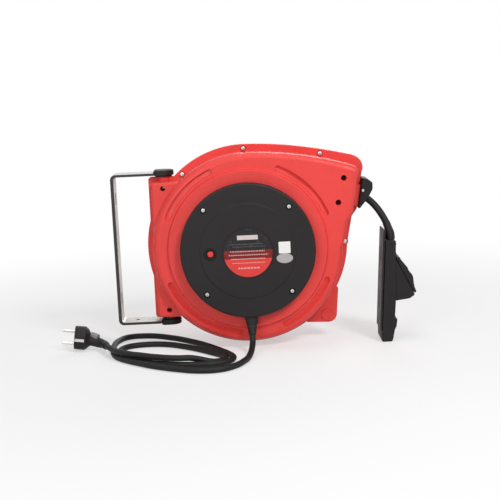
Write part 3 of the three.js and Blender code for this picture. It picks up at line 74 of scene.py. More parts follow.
# ---- camera
ELEVATION, ROLL = math.radians(9.3), math.radians(2.6)
EYE = (0.0115, -1.69175, 0.4166)

forward = Vector((0, math.cos(ELEVATION), -math.sin(ELEVATION)))
upward = Vector((0, math.sin(ELEVATION), math.cos(ELEVATION)))
camera_x = ACROSS * math.cos(ROLL) - upward * math.sin(ROLL)
camera_y = ACROSS * math.sin(ROLL) + upward * math.cos(ROLL)
camera_data = bpy.data.cameras.new("camera")
camera_data.lens = 82.21
camera_data.sensor_width = 36.0
camera_data.shift_x = 0.004
camera_data.shift_y = 0.0028
camera = add_object("camera", camera_data)
camera.matrix_world = Matrix.Translation(EYE) @ Matrix((camera_x, camera_y, -forward)).transposed().to_4x4()
scene.camera = camera
scene.view_settings.view_transform = "Standard"


# ---- materials
def add_node(tree, kind, inputs=(), **settings):
    """A shader node with its settings. An input takes a value, or a link from another node's output."""
    node = tree.nodes.new("ShaderNode" + kind)
    for name, value in settings.items():
        setattr(node, name, value)
    for name, value in dict(inputs).items():
        if isinstance(value, bpy.types.NodeSocket):
            tree.links.new(value, node.inputs[name])
        else:
            node.inputs[name].default_value = value
    return node


class Look:
    """A principled material, its slot's name and helpers for its nodes. Textures lie in metres."""

    MIX_A, MIX_B, MIX_RESULT = 6, 7, 2  # a mix node's sockets for colours

    def __init__(self, name, slot, colour, roughness, metallic=0.0, specular=0.5):
        self.slot = slot
        self.material = bpy.data.materials.new(name)
        self.material.use_nodes = True
        self.tree = self.material.node_tree
        self.shader = self.tree.nodes["Principled BSDF"].inputs
        self.colour = (*colour, 1)
        self.shader["Base Color"].default_value = self.colour
        self.shader["Roughness"].default_value = roughness
        self.shader["Metallic"].default_value = metallic
        self.shader["Specular IOR Level"].default_value = specular
        self.place = self.node("TexCoord").outputs["Object"]

    def node(self, kind, inputs=(), **settings):
        return add_node(self.tree, kind, inputs, **settings)

    def noise(self, scale, detail=3.0, stretch=None, rough=0.5):
        place = self.place
        if stretch is not None:
            place = self.node("Mapping", {"Vector": place, "Scale": stretch}).outputs["Vector"]
        made = self.node("TexNoise", {"Vector": place, "Scale": scale, "Detail": detail, "Roughness": rough})
        return made.outputs["Fac"]

    def spread(self, value, low, high, to_low=0.0, to_high=1.0):
        ranges = {"From Min": low, "From Max": high, "To Min": to_low, "To Max": to_high}
        return self.node("MapRange", {"Value": value, **ranges}).outputs["Result"]

    def math(self, operation, *values):
        return self.node("Math", enumerate(values), operation=operation).outputs["Value"]

    def tint(self, factor, second):
        """Mixes the colour so far towards a second one."""
        colours = {"Factor": factor, self.MIX_A: self.colour, self.MIX_B: (*second, 1)}
        self.colour = self.node("Mix", colours, data_type="RGBA").outputs[self.MIX_RESULT]
        self.tree.links.new(self.colour, self.shader["Base Color"])

    def vary_roughness(self, value, low, high):
        self.tree.links.new(self.spread(value, 0.3, 0.7, low, high), self.shader["Roughness"])

    def relief(self, height, depth, strength):
        """Bumps of a depth in millimetres."""
        bump = self.node("Bump", {"Strength": strength, "Distance": depth / 1000, "Height": height})
        self.tree.links.new(bump.outputs["Normal"], self.shader["Normal"])


def shaded(colour, share):
    return tuple(c * share for c in colour)


def moulded(name, slot, colour, roughness, grain=0.05, tone=0.86, specular=0.5):
    """Injection-moulded plastic: faint tone changes, a spark-eroded grain and uneven gloss."""
    made = Look(name, slot, colour, roughness, specular=specular)
    made.tint(made.spread(made.noise(14, 4), 0.35, 0.7), shaded(colour, tone))
    made.tint(made.spread(made.noise(420, 2), 0.62, 0.78, 0.0, 0.35), shaded(colour, tone * 0.9))
    made.vary_roughness(made.noise(55, 4), roughness - 0.07, roughness + 0.08)
    made.relief(made.noise(1400, 2), grain, 0.5)
    return made


def rubbery(name, slot, colour, roughness, grain=0.09, tone=1.35):
    made = Look(name, slot, colour, roughness, specular=0.27)
    made.tint(made.spread(made.noise(24, 5), 0.4, 0.75), shaded(colour, tone))
    made.tint(made.spread(made.noise(160, 6, rough=0.7), 0.6, 0.8, 0.0, 0.5), shaded(colour, tone * 1.3))
    made.vary_roughness(made.noise(70, 4), roughness - 0.08, roughness + 0.06)
    made.relief(made.noise(900, 3), grain, 0.6)
    return made


def metallic(name, slot, colour, roughness, stretch=(60, 60, 1200), tone=0.75):
    """Metal with brush marks drawn out along one axis."""
    made = Look(name, slot, colour, roughness, metallic=1.0)
    made.tint(made.spread(made.noise(30, 5), 0.35, 0.7), shaded(colour, tone))
    made.vary_roughness(made.noise(1, 3, stretch), roughness - 0.1, roughness + 0.12)
    made.relief(made.noise(1, 2, stretch), 0.02, 0.5)
    return made


housing_red = moulded("housing_red", "red_plastic", (0.78, 0.056, 0.049), 0.45, specular=0.32)
cover_black = moulded("cover_black", "black_plastic", (0.0082, 0.0064, 0.0068), 0.52, tone=1.4, specular=0.28)
grey_part = moulded("grey_part", "grey_plastic", (0.19, 0.19, 0.193), 0.6)
button_red = moulded("button_red", "red_plastic", (0.72, 0.035, 0.03), 0.38, tone=0.9)
black_rubber = rubbery("black_rubber", "black_rubber", (0.0080, 0.0066, 0.0069), 0.62)
cord_black = rubbery("cord_black", "cord_sheath", (0.0062, 0.0054, 0.0056), 0.6, grain=0.06)
zinc = metallic("zinc", "zinc_steel", (0.66, 0.65, 0.64), 0.36)
blued = metallic("blued_steel", "zinc_steel", (0.035, 0.035, 0.038), 0.5)
spring_steel = metallic("spring_steel", "spring_steel", (0.26, 0.28, 0.31), 0.3)
brass = metallic("brass", "brass", (0.58, 0.37, 0.10), 0.3)
nickel = metallic("nickel", "nickel", (0.76, 0.73, 0.68), 0.24)
carbon = moulded("carbon", "carbon", (0.03, 0.032, 0.036), 0.5)
white_film = moulded("white_film", "white_film", (0.80, 0.80, 0.775), 0.42, 0.01, 0.95, 0.3)
grey_film = moulded("grey_film", "white_film", (0.41, 0.385, 0.375), 0.42, 0.01, 0.93, 0.3)
steel_face = metallic("bracket_steel", "zinc_steel", (0.56, 0.54, 0.525), 0.45, (400, 20, 20), 0.85)
# The near-black colour of the bracket's cut edges is a painted dark reflection of the surroundings that the
# steel edges mirror.
edge_painted_dark_reflection = moulded("bracket_edge_painted_reflection", "zinc_steel", (0.020, 0.020, 0.021), 0.45, tone=1.6, specular=0.35)


# ---- cords, first of all the pieces
class Route:
    """A centripetal Catmull-Rom curve through given points, measured along its length."""

    FINE = 24

    def __init__(self, points):
        knots = [Vector(p) for p in points]
        knots = [2 * knots[0] - knots[1]] + knots + [2 * knots[-1] - knots[-2]]
        self.points = []
        for k in range(len(knots) - 3):
            p0, p1, p2, p3 = knots[k : k + 4]
            d0, d1, d2 = (math.sqrt((b - a).length) for a, b in ((p0, p1), (p1, p2), (p2, p3)))
            t1 = ((p1 - p0) / d0 - (p2 - p0) / (d0 + d1) + (p2 - p1) / d1) * d1
            t2 = ((p2 - p1) / d1 - (p3 - p1) / (d1 + d2) + (p3 - p2) / d2) * d1
            for i in range(self.FINE):
                t = i / self.FINE
                self.points.append(
                    p1 + t1 * t + (3 * (p2 - p1) - 2 * t1 - t2) * t * t + (2 * (p1 - p2) + t1 + t2) * t**3
                )
        self.points.append(knots[-2].copy())
        self.marks = [0.0]
        for a, b in zip(self.points, self.points[1:]):
            self.marks.append(self.marks[-1] + (b - a).length)
        self.length = self.marks[-1]

    def at(self, s):
        """The point s along the curve; beyond its ends the curve runs on straight."""
        k = max(0, min(len(self.points) - 2, bisect.bisect_right(self.marks, s) - 1))
        a, b = self.points[k : k + 2]
        return a + (b - a) * ((s - self.marks[k]) / (self.marks[k + 1] - self.marks[k]))

    def heading(self, s):
        return (self.at(s + 0.5) - self.at(s - 0.5)).normalized()

    def stretch(self, s0, s1, step):
        count = max(2, math.ceil((s1 - s0) / step))
        return [self.at(s0 + (s1 - s0) * i / count) for i in range(count + 1)]


def cable(name, points, radius, body, nodes, sides=10):
    data = bpy.data.curves.new(name, "CURVE")
    data.dimensions = "3D"
    data.bevel_depth = radius / 1000
    data.bevel_resolution = sides
    data.use_fill_caps = True
    spline = data.splines.new("POLY")
    spline.points.add(len(points) - 1)
    for place, p in zip(spline.points, points):
        place.co = (*row(*p), 1)
    spline.use_smooth = True
    data.materials.append(cord_black.material)
    made = add_object(name, data)
    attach(made, body)
    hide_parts(*nodes)
    return made


LIE = 4.5  # the height of a cord's middle where it lies on the floor
SUPPLY_POINTS = [
    (1, -0.6, 25.6), (1, -5.6, 17.392), (0, -15.5, 12.012), (-2.5, -31, 7.201), (-7, -50),
    # first loop
    (-12, -64), (-18.3, -78), (-26.6, -89.9), (-39, -101), (-55.4, -106.5),
    (-73.3, -105.6), (-87.3, -101.6), (-101.4, -94.5), (-115.7, -86.7),
    (-130.3, -77.3), (-145.1, -66.6), (-160.5, -52.5), (-176, -38.1),
    (-190.7, -21.4), (-199.5, -6.6), (-205.1, 13.1), (-207.7, 36.4), (-209, 61.3),
    (-207.3, 81.2), (-203.5, 94), (-199, 104.5), (-192.5, 111.5), (-184, 115.3),
    (-175, 116.2), (-159.2, 114.5), (-143.1, 108.1), (-126.8, 97), (-110.6, 84.1),
    (-94.5, 67.5), (-78.6, 49.4), (-63, 27.9), (-47.7, 3.9), (-37.2, -14.5),
    (-29.8, -30.3), (-27.3, -40.4),
    # second loop, inside the first
    (-29, -52), (-35, -63), (-47, -71), (-60, -74), (-74.4, -74), (-88, -72),
    (-102, -69.5), (-116.5, -65), (-131, -59), (-145.7, -51.5), (-160.2, -38.8),
    (-175, -23.5), (-187, -8), (-194.5, 10), (-196.8, 26), (-194, 39),
    (-187, 49), (-176, 55.5), (-163, 58.5), (-148, 58.5), (-133, 55),
    (-118, 47.5), (-103, 36.5), (-88, 23.5), (-73, 8), (-60, -7.5),
    (-53, -15.7), (-44.3, -25.9), (-40, -34.5), (-38.6, -42.5), (-40.5, -51),
    (-45.5, -58),
    # the last loop climbs onto the second and crosses both at the left
    (-53.5, -62.8, 5), (-63, -64.8, 6.9), (-75, -66, 10.3), (-88, -68.3, 13.3), (-102, -69, 13.8),
    (-116.5, -65.5, 13.8), (-131, -59.5, 13.8), (-145.7, -52, 13.8), (-160.5, -42.5, 13.8),
    (-174.2, -34.5, 13.8), (-184, -26, 13.8), (-195, -15.5, 13.8), (-205.7, 2, 13.6), (-210.5, 12.5, 13.4),
    (-214.3, 23, 12.6), (-217.5, 31.5, 11.7),
]
OUTPUT_POINTS = [
    (68.1, 75, 241.7), (92, 75, 237.8), (116, 75, 233.9), (139.4, 75, 229.4), (155, 75, 224.3),
    (168, 75, 218.4), (181, 75, 210.9), (190.5, 74.3, 202.4), (198.6, 71.3, 192.2), (204.8, 65.6, 181.6),
    (208.9, 58.8, 171.8), (211, 53.6, 163), (211.68, 51.5, 157.42), (211.93, 51, 151.8),
]
SUPPLY_ENDS = 3  # how far each end of the supply cord runs on inside its boot
OUTPUT_END = 12  # how far the output cord runs on into the outlet
supply_route = Route([(*p, LIE) if len(p) == 2 else p for p in SUPPLY_POINTS])
output_route = Route(OUTPUT_POINTS)
supply_line = supply_route.stretch(-SUPPLY_ENDS, supply_route.length + SUPPLY_ENDS, 3.0)
output_line = output_route.stretch(0, output_route.length + OUTPUT_END, 2.5)
supply_nodes = ["supply_cord", "supply_cord_loops", "supply_cord_tail"]
supply_cord = cable("supply_cord_flex", supply_line, SUPPLY_R, "housing", supply_nodes)
output_cord = cable("output_cord_flex", output_line, CABLE_R, "housing", ["output_cord_lead", "output_cord"])


# ---- flat outlines
def circle(degrees):
    a = math.radians(degrees)
    return Vector((math.cos(a), math.sin(a)))


def rounded(points, radius, step=10.0):
    """A closed outline with its corners rounded. radius is one number, or one for each corner."""
    made = []
    corners = [Vector(p) for p in points]
    radii = radius if isinstance(radius, (list, tuple)) else [radius] * len(corners)
    for i, p in enumerate(corners):
        to_last = corners[i - 1] - p
        to_next = corners[(i + 1) % len(corners)] - p
        u, v = to_last.normalized(), to_next.normalized()
        angle = math.acos(max(-1.0, min(1.0, u.dot(v))))
        bend = math.pi - angle
        if radii[i] <= 0 or bend < math.radians(3):
            made.append(p)
            continue
        reach = min(radii[i] / math.tan(angle / 2), 0.48 * to_last.length, 0.48 * to_next.length)
        r = reach * math.tan(angle / 2)
        centre = p + (u + v).normalized() * (r / math.sin(angle / 2))
        first, last = p + u * reach - centre, p + v * reach - centre
        count = max(2, math.ceil(math.degrees(bend) / step))
        for k in range(count + 1):
            t = k / count
            arm = first * math.sin((1 - t) * bend) + last * math.sin(t * bend)
            made.append(centre + arm / math.sin(bend))
    return made


def inset(loop, amount):
    """A closed outline moved inwards."""
    if amount == 0:
        return list(loop)
    area = sum(a.x * b.y - b.x * a.y for a, b in zip(loop, loop[1:] + loop[:1]))
    sign = 1 if area > 0 else -1
    made = []
    for i, p in enumerate(loop):
        before = (p - loop[i - 1]).normalized()
        after = (loop[(i + 1) % len(loop)] - p).normalized()
        n0 = Vector((-before.y, before.x)) * sign
        n1 = Vector((-after.y, after.x)) * sign
        middle = (n0 + n1).normalized()
        made.append(p + middle * (amount / max(0.35, middle.dot(n1))))
    return made


def rectangle(x0, x1, y0, y1, radius=0.0):
    return rounded([(x0, y0), (x1, y0), (x1, y1), (x0, y1)], radius)


def ring_of(wide, sides, x=0.0, z=AXIS_Z, high=None):
    """A circle, or an ellipse where high is given."""
    high = wide if high is None else high
    angles = (2 * math.pi * i / sides for i in range(sides))
    return [Vector((x + wide * math.cos(a), z + high * math.sin(a))) for a in angles]


def bezier(corners, count):
    """Points on the curve that corners draw."""
    made = []
    for i in range(count + 1):
        left = [Vector(p) for p in corners]
        while len(left) > 1:
            left = [a.lerp(b, i / count) for a, b in zip(left, left[1:])]
        made.append(left[0])
    return made


def ends(w0, w1, r0=0.0, r1=0.0, steps=5):
    """Stations (w, inset) of a prism from w0 to w1 with its edges rounded by r0 and r1."""
    sign = 1 if w1 > w0 else -1
    turns = [k / steps * math.pi / 2 for k in range(steps + 1)]
    first = [(w0 + sign * r0 * (1 - math.cos(t)), r0 * (1 - math.sin(t))) for t in turns]
    last = [(w1 - sign * r1 * (1 - math.sin(t)), r1 * (1 - math.cos(t))) for t in turns]
    return (first if r0 else [(w0, 0)]) + (last if r1 else [(w1, 0)])


# ---- solids in millimetres
PLACES = {
    "x": lambda u, v, w: (w, u, v),
    "y": lambda u, v, w: (u, w, v),
    "z": lambda u, v, w: (u, v, w),
}


def solid(verts, faces):
    mesh = bpy.data.meshes.new("solid")
    mesh.from_pydata([tuple(v) for v in verts], [], faces)
    work = bmesh.new()
    work.from_mesh(mesh)
    bmesh.ops.recalc_face_normals(work, faces=work.faces)
    if work.calc_volume(signed=True) < 0:
        bmesh.ops.reverse_faces(work, faces=work.faces)
    work.to_mesh(mesh)
    work.free()
    return add_object("solid", mesh)


def skin(loops):
    """A closed solid through loops of equally many 3-D points, flat at both ends."""
    count = len(loops[0])
    verts = [p for loop in loops for p in loop]
    last = len(verts) - count
    faces = []
    for k in range(0, last, count):
        for i in range(count):
            j = (i + 1) % count
            faces.append((k + i, k + j, k + count + j, k + count + i))
    faces += [tuple(range(count)), tuple(range(last, len(verts)))]
    return solid(verts, faces)


def prism(outline, stations, along="y"):
    place = PLACES[along]
    return skin([[place(p.x, p.y, w) for p in inset(outline, amount)] for w, amount in stations])


def slab(outline, w0, w1, r0=0.0, r1=0.0, along="y", steps=5):
    return prism(outline, ends(w0, w1, r0, r1, steps), along)


def disc(radius, y0, y1, x=0.0, z=AXIS_Z, r0=0.0, r1=0.0, sides=32):
    return slab(ring_of(radius, sides, x, z), y0, y1, r0, r1)


def turned(profile, sides=96, x=0.0, z=AXIS_Z):
    """A profile of (radius, y) turned about an axis along Y. It is closed up by itself or by the axis."""
    verts, faces, rows = [], [], []
    for r, y in profile:
        if r < 1e-6:
            rows.append([len(verts)] * sides)
            verts.append((x, y, z))
            continue
        rows.append([len(verts) + i for i in range(sides)])
        verts += [(p.x, y, p.y) for p in ring_of(r, sides, x, z)]
    pairs = list(zip(rows, rows[1:]))
    if profile[0][0] > 1e-6:
        pairs.append((rows[-1], rows[0]))
    for a, b in pairs:
        for i in range(sides):
            j = (i + 1) % sides
            face = tuple(dict.fromkeys((a[i], a[j], b[j], b[i])))
            if len(face) > 2:
                faces.append(face)
    return solid(verts, faces)


def turned_ring(inner, outer, y0, y1, x=0.0, z=AXIS_Z, sides=32):
    return turned([(inner, y0), (outer, y0), (outer, y1), (inner, y1)], sides, x, z)


def lathe(points, radii, sides=96, x=0.0, z=AXIS_Z, step=10.0):
    """A turned profile with its corners rounded."""
    return turned([(p.x, p.y) for p in rounded(points, radii, step)], sides, x, z)


def bar(start, end, radius, sides=32, tip=0.0):
    """A round bar between two points, its second end rounded by tip."""
    start, end = Vector(start), Vector(end)
    along = (end - start).normalized()
    across = along.cross(INWARD if abs(along.y) < 0.9 else ACROSS).normalized()
    third = along.cross(across)
    loops = []
    for w, amount in ends(0, (end - start).length, 0, tip):
        loops.append([
            start + along * w + (across * math.cos(a) + third * math.sin(a)) * (radius - amount)
            for a in (2 * math.pi * i / sides for i in range(sides))
        ])
    return skin(loops)


def loft(stations, guide, sides=48, power=2.0):
    """A skin over oval stations (at, heading, wide, high). power above 2 squares the ovals."""
    loops = []
    for at, heading, wide, high in stations:
        along = Vector(heading).normalized()
        across = (guide - along * guide.dot(along)).normalized()
        third = along.cross(across)
        loop = []
        for i in range(sides):
            a = 2 * math.pi * i / sides
            c, s = math.cos(a), math.sin(a)
            grow = (abs(c) ** power + abs(s) ** power) ** (-1 / power)
            loop.append(Vector(at) + across * (wide * c * grow) + third * (high * s * grow))
        loops.append(loop)
    return skin(loops)


def smooth(t, a, b, c, d):
    """A Catmull-Rom curve's value at t between b and c."""
    value = 2 * b + (c - a) * t + (2 * a - 5 * b + 4 * c - d) * t * t
    return (value + (3 * b - a - 3 * c + d) * t**3) / 2


def between(stations, steps):
    """More stations, on a smooth curve through the given ones."""
    rows = [[*at, *Vector(heading).normalized(), wide, high] for at, heading, wide, high in stations]
    made = []
    for k in range(len(rows) - 1):
        p1, p2 = rows[k], rows[k + 1]
        p0 = rows[k - 1] if k else [2 * a - b for a, b in zip(p1, p2)]
        p3 = rows[k + 2] if k + 2 < len(rows) else [2 * b - a for a, b in zip(p1, p2)]
        for i in range(steps):
            made.append([smooth(i / steps, *values) for values in zip(p0, p1, p2, p3)])
    made.append(rows[-1])
    return [(m[0:3], m[3:6], m[6], m[7]) for m in made]


def post(x, z0, z1, radius, sides=32, tip=0.0):
    """An upright round bar in the parting plane."""
    return bar((x, MID_Y, z0), (x, MID_Y, z1), radius, sides, tip)


def cable_room(radius, distances):
    """The room of a given radius round the output cord, at distances along it."""
    stations = [(output_route.at(s), output_route.heading(s), radius, radius) for s in distances]
    return loft(stations, INWARD, 32)


def carve(base, joins=(), cuts=(), keep=None):
    """base with solids joined to it, then others cut from it, then what lies outside keep taken off."""
    work = [(tool, "UNION") for tool in joins] + [(tool, "DIFFERENCE") for tool in cuts]
    if keep is not None:
        work.append((keep, "INTERSECT"))
    for tool, operation in work:
        step = base.modifiers.new("carve", "BOOLEAN")
        step.operation = operation
        step.solver = "MANIFOLD"
        step.object = tool
    shown = base.evaluated_get(bpy.context.evaluated_depsgraph_get())
    mesh = bpy.data.meshes.new_from_object(shown)
    base.modifiers.clear()
    base.data = mesh
    for tool, _ in work:
        bpy.data.objects.remove(tool)
    return base


def dress(made, name, look, body="housing"):
    """Names a solid, moves it to the row's frame and gives it its material and body."""
    mesh = made.data
    work = bmesh.new()
    work.from_mesh(mesh)
    bmesh.ops.remove_doubles(work, verts=work.verts, dist=1e-4)
    bmesh.ops.dissolve_degenerate(work, edges=work.edges, dist=1e-4)
    work.transform(TO_ROW)
    work.to_mesh(mesh)
    work.free()
    made.name = mesh.name = name
    mesh.shade_smooth()
    mesh.set_sharp_from_angle(angle=math.radians(32))
    mesh.materials.clear()
    mesh.materials.append(look.material)
    weigh = made.modifiers.new("weigh", "WEIGHTED_NORMAL")
    weigh.keep_sharp = True
    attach(made, body)
    return made


def finish(made, node, form, look, body="housing"):
    """Dresses a solid that takes the place of a CAD node."""
    dress(made, f"{node}_{form}", look, body)
    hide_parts(node)
    return made


# ---- housing
# Distances d are from the parting plane, towards the half's own face.
FACE, PLATEAU, FLANGE = 51.0, 57.0, 4.0
WALL = 3.0
SEAM = 0.15
BODY_R, FLANGE_R, PLATEAU_R = 140.0, 150.0, 116.0
FAN_STEP, FAN_ROUND = 10.0, 8.0  # the fan stands this far inside its flange; its edge's rounding
BOX_STEP, BOX_HALF, BOX_DEEP = 6.0, 107.0, 35.0
PIVOT_X, PIVOT_R, PIVOT_PIN_R = -121.0, 10.0, 5.2
LUG = (116.4, up(-114.6))
LUG_SEAT = 2.0
ROLLERS = [(143.9, up(97.6)), (134.9, up(62))]
ROLLER_PIN_R, ROLLER_PIN_HALF, ROLLER_WELL_R = 3.5, 33.0, 4.3
FLANGE_SCREWS = {
    "shell_screw_left": (-92.81, up(109.05)),
    "shell_screw_top": (-0.5, up(143.5)),
    "shell_screw_fan": (113.4, up(131)),
    "shell_screw_right": (146.37, up(-2.81)),
}
WELL_SCREWS = {"pivot_screw_upper": (PIVOT_X, up(92)), "pivot_screw_lower": (PIVOT_X, up(-90))}
COVER_SCREWS = [(sx * 62, up(sz * 62)) for sz in (1, -1) for sx in SIDES]
SCREW_HOLE, BOSS_R, HEAD_ROOM = 1.9, 5.3, 4.7
WELL_SEAT, WELL_ROOM, SCREW_DEEP = 12.0, 3.8, 12.3
AXLE_HOLE = 8.3
HUB_FLOOR = PLATEAU - 5  # the rear hub's well ends here
MOUTH_MID = Vector((169.23, 216.52))
MOUTH_LINE = Vector((0.15549, 0.98784))
MOUTH_OUT = Vector((0.98784, -0.15549))
ARC_SPANS = [(22.5, 67), (114, 156), (203, 262), (294, 336)]
ARC_INNER, ARC_OUTER, ARC_MARGIN = 121.0, 130.0, 2.5
PAWL_PIN = AXIS + 86.3 * circle(120)


def fan_loop(amount):
    """The fan's outline from the axis over the top to the mouth, moved inwards by amount."""
    top, right = up(150 - amount), 176.5 - amount
    corner = (right - 18.5, top - 22.2)
    made = [AXIS]
    made += bezier([(0, top), (56, top), (112, top - 10.5), corner], 28)
    made += bezier([corner, (right + 0.5, top - 27), (right, up(106))], 12)[1:]
    made += [Vector((x - amount, up(rise))) for x, rise in ((174.5, 100), (166, 46), (158, 35), (150.5, -3))]
    return made


def box_loop(amount):
    return rectangle(-144 + amount, -90, up(-BOX_HALF + amount), up(BOX_HALF - amount), 5)


def lug_loop():
    corners = [(91.4, up(-60.6)), (134.4, up(-72.6)), (130, up(-126.6)), (85.4, up(-125.1))]
    return rounded(corners, [0, 3, 13, 0], 6)


def round_body(at, thin, start, sides):
    """The round body's outside, or its inside where thin is the wall."""
    wall, face, edge, top = BODY_R - thin, FACE - thin, PLATEAU_R - thin, PLATEAU - thin
    points = [(0, start), (wall, start), (wall, face), (edge + 2, face), (edge, top), (0, top)]
    radii = [0, 0, 10 if thin else 12, 1.6, 1.2, 0]
    return lathe([(r, at(d)) for r, d in points], radii, sides, step=9)


def arc_loop(start, end, margin=0.0):
    """A bow-shaped slot with round ends, between two angles about the drum's axis."""
    inner, outer = ARC_INNER - margin, ARC_OUTER + margin
    middle, half = (inner + outer) / 2, (outer - inner) / 2

    def sweep(centre, r, first, last, count):
        return [centre + r * circle(first + (last - first) * i / count) for i in range(count)]

    return (
        sweep(AXIS, outer, start, end, 40)
        + sweep(AXIS + middle * circle(end), half, end, end + 180, 10)
        + sweep(AXIS, inner, end, start, 40)
        + sweep(AXIS + middle * circle(start), half, start + 180, start + 360, 10)
    )


def mouth_point(along, outward):
    return MOUTH_MID + MOUTH_LINE * along + MOUTH_OUT * outward


def hollow_half(at):
    """One half's body, fan, pivot box and flange, with the room inside them."""
    def pad(loop):
        return slab(loop, at(SEAM), at(FLANGE), 0, 1.0, steps=3)

    fan_rings = [(at(SEAM), fan_loop(FAN_STEP))]
    for k in range(9):
        bend = circle(90 * k / 8)
        amount = FAN_STEP + FAN_ROUND * (1 - bend.x)
        fan_rings.append((at(FACE - FAN_ROUND * (1 - bend.y)), fan_loop(amount)))
    body = round_body(at, 0, SEAM, 192)
    joins = [
        skin([[(p.x, y, p.y) for p in loop] for y, loop in fan_rings]),
        slab(box_loop(BOX_STEP), at(SEAM), at(BOX_DEEP), 0, 4),
        disc(FLANGE_R, at(SEAM), at(FLANGE), r0=0.3, r1=1.0, sides=192),
        pad(fan_loop(0)),
        pad(box_loop(0)),
        pad(lug_loop()),
        disc(9, at(SEAM), at(FLANGE + LUG_SEAT), *LUG, r1=0.8, sides=40),
    ]
    room = carve(round_body(at, WALL, -OVER, 96), [
        slab(inset(fan_loop(FAN_STEP), WALL), at(-OVER), at(FACE - WALL), 0, 5),
        slab(box_loop(BOX_STEP + WALL), at(-OVER), at(BOX_DEEP - WALL), 0, 3),
    ])
    return carve(carve(body, joins), (), [room])


def screw_seats(at, front, joins, cuts):
    """Bosses, holes and head rooms of the screws that clamp the halves."""
    for place in FLANGE_SCREWS.values():
        joins.append(disc(BOSS_R, at(SEAM), at(FLANGE if front else 14), *place, r1=0 if front else 1.2))
        if front:
            cuts.append(disc(HEAD_ROOM, at(FLANGE), at(PLATEAU + 2), *place))
            cuts.append(turned_ring(3.5, HEAD_ROOM, at(FLANGE - 1.2), at(FLANGE + OVER), *place))
        cuts.append(disc(SCREW_HOLE, at(-OVER), at(FLANGE + OVER if front else SCREW_DEEP), *place))
    for place in WELL_SCREWS.values():
        joins.append(disc(6.7, at(SEAM), at(33.5 if front else 16), *place))
        cuts.append(disc(SCREW_HOLE, at(-OVER), at(WELL_SEAT + OVER if front else SCREW_DEEP), *place))
        if front:
            cuts.append(disc(WELL_ROOM, at(WELL_SEAT), at(BOX_DEEP + 2), *place))
    cuts.append(disc(SCREW_HOLE, at(-OVER), at(FLANGE if front else 20), *LUG))
    if front:
        cuts.append(disc(6, at(FLANGE + 1.2), at(20), *LUG, r0=0.8))
    else:
        cuts.append(disc(4.4, at(FLANGE + LUG_SEAT), at(20), *LUG))


def openings(at, joins, cuts):
    """Seats of the roller pins and the bracket's pivots, and the cable's mouth."""
    for place in ROLLERS:
        joins.append(disc(7, at(15.3), at(FACE - 1.5), *place))
        cuts.append(disc(ROLLER_PIN_R + 0.12, at(-OVER), at(ROLLER_PIN_HALF + OVER), *place))
        cuts.append(disc(ROLLER_WELL_R, at(ROLLER_PIN_HALF - OVER), at(FACE + OVER), *place))
    for direction in SIDES:
        outside = up(direction * BOX_HALF)
        joins.append(post(PIVOT_X, outside - direction * 20, outside, PIVOT_R))
        cuts.append(post(PIVOT_X, outside - direction * 12, outside + direction * OVER, PIVOT_PIN_R))
    mouth = [mouth_point(*p) for p in ((-16, -18), (16, -18), (16, 0), (-16, 0))]
    joins.append(slab(mouth, at(SEAM), at(12.2)))
    cuts.append(cable_room(8.4, range(40, 136, 5)))


def arc_groove(at, start, end):
    """An arc groove whose floor slopes deeper towards its outer edge."""
    middle, half = (ARC_INNER + ARC_OUTER) / 2, (ARC_OUTER - ARC_INNER) / 2
    loops = []
    for depth, amount, slope in ((4.2, 0.8, 1.3), (3.8, 0.2, 1.3), (2.2, 0, 0), (-OVER, 0, 0)):
        loop = []
        for p in inset(arc_loop(start, end), amount):
            share = (math.hypot(p.x, p.y - AXIS_Z) - middle) / half
            loop.append(Vector((p.x, at(FACE - depth - slope * max(-1, min(1, share))), p.y)))
        loops.append(loop)
    return skin(loops)


def front_details(at, joins, cuts):
    """The arc grooves, the axle's and the wires' holes and the cover's screw bosses."""
    for start, end in ARC_SPANS:
        joins.append(slab(arc_loop(start - 1.5, end + 1.5, ARC_MARGIN), at(FACE - 7), at(FACE - 1.5)))
        cuts.append(arc_groove(at, start, end))
    cuts.append(disc(AXLE_HOLE, at(40), at(PLATEAU + OVER)))
    cuts.append(disc(5, at(40), at(PLATEAU + OVER), -34))
    for place in COVER_SCREWS:
        joins.append(disc(4.5, at(PLATEAU - 9), at(PLATEAU - 1), *place))
        cuts.append(disc(SCREW_HOLE, at(PLATEAU - 8), at(PLATEAU + OVER), *place))


def rear_details(at, joins, cuts):
    """Shallow spokes and a ring in the rear face, the hub's well and the pawl's boss."""
    for k in range(12):
        out = circle(15 + 30 * k)
        across = Vector((-out.y, out.x)) * 1.6
        root, tip = AXIS + out * 38, AXIS + out * 102
        corners = [root - across, tip - across, tip + across, root + across]
        cuts.append(slab(rounded(corners, 1.5), at(PLATEAU - 1.1), at(PLATEAU + OVER)))
    cuts.append(turned_ring(30, 31.6, at(PLATEAU - 0.8), at(PLATEAU + OVER), sides=96))
    joins.append(disc(27, at(PLATEAU - 8), at(PLATEAU - 1)))
    cuts.append(disc(24, at(HUB_FLOOR), at(PLATEAU + OVER), r0=0.8, sides=64))
    cuts.append(disc(AXLE_HOLE, at(30), at(PLATEAU + OVER)))
    joins.append(disc(7, at(40.1), at(PLATEAU - 1), *PAWL_PIN))
    cuts.append(disc(2.8, at(30), at(PLATEAU - WALL), *PAWL_PIN))


def shell(side):
    def at(d):
        return MID_Y + side * d

    joins, cuts = [], []
    screw_seats(at, side == FRONT, joins, cuts)
    openings(at, joins, cuts)
    details = front_details if side == FRONT else rear_details
    details(at, joins, cuts)
    made = carve(carve(hollow_half(at), joins), (), cuts)
    return carve(made, keep=slab(rectangle(-400, 400, -400, 800), at(SEAM), at(200)))


for side, name in ((FRONT, "front_shell"), (REAR, "rear_shell")):
    finish(shell(side), name, "moulding", housing_red)


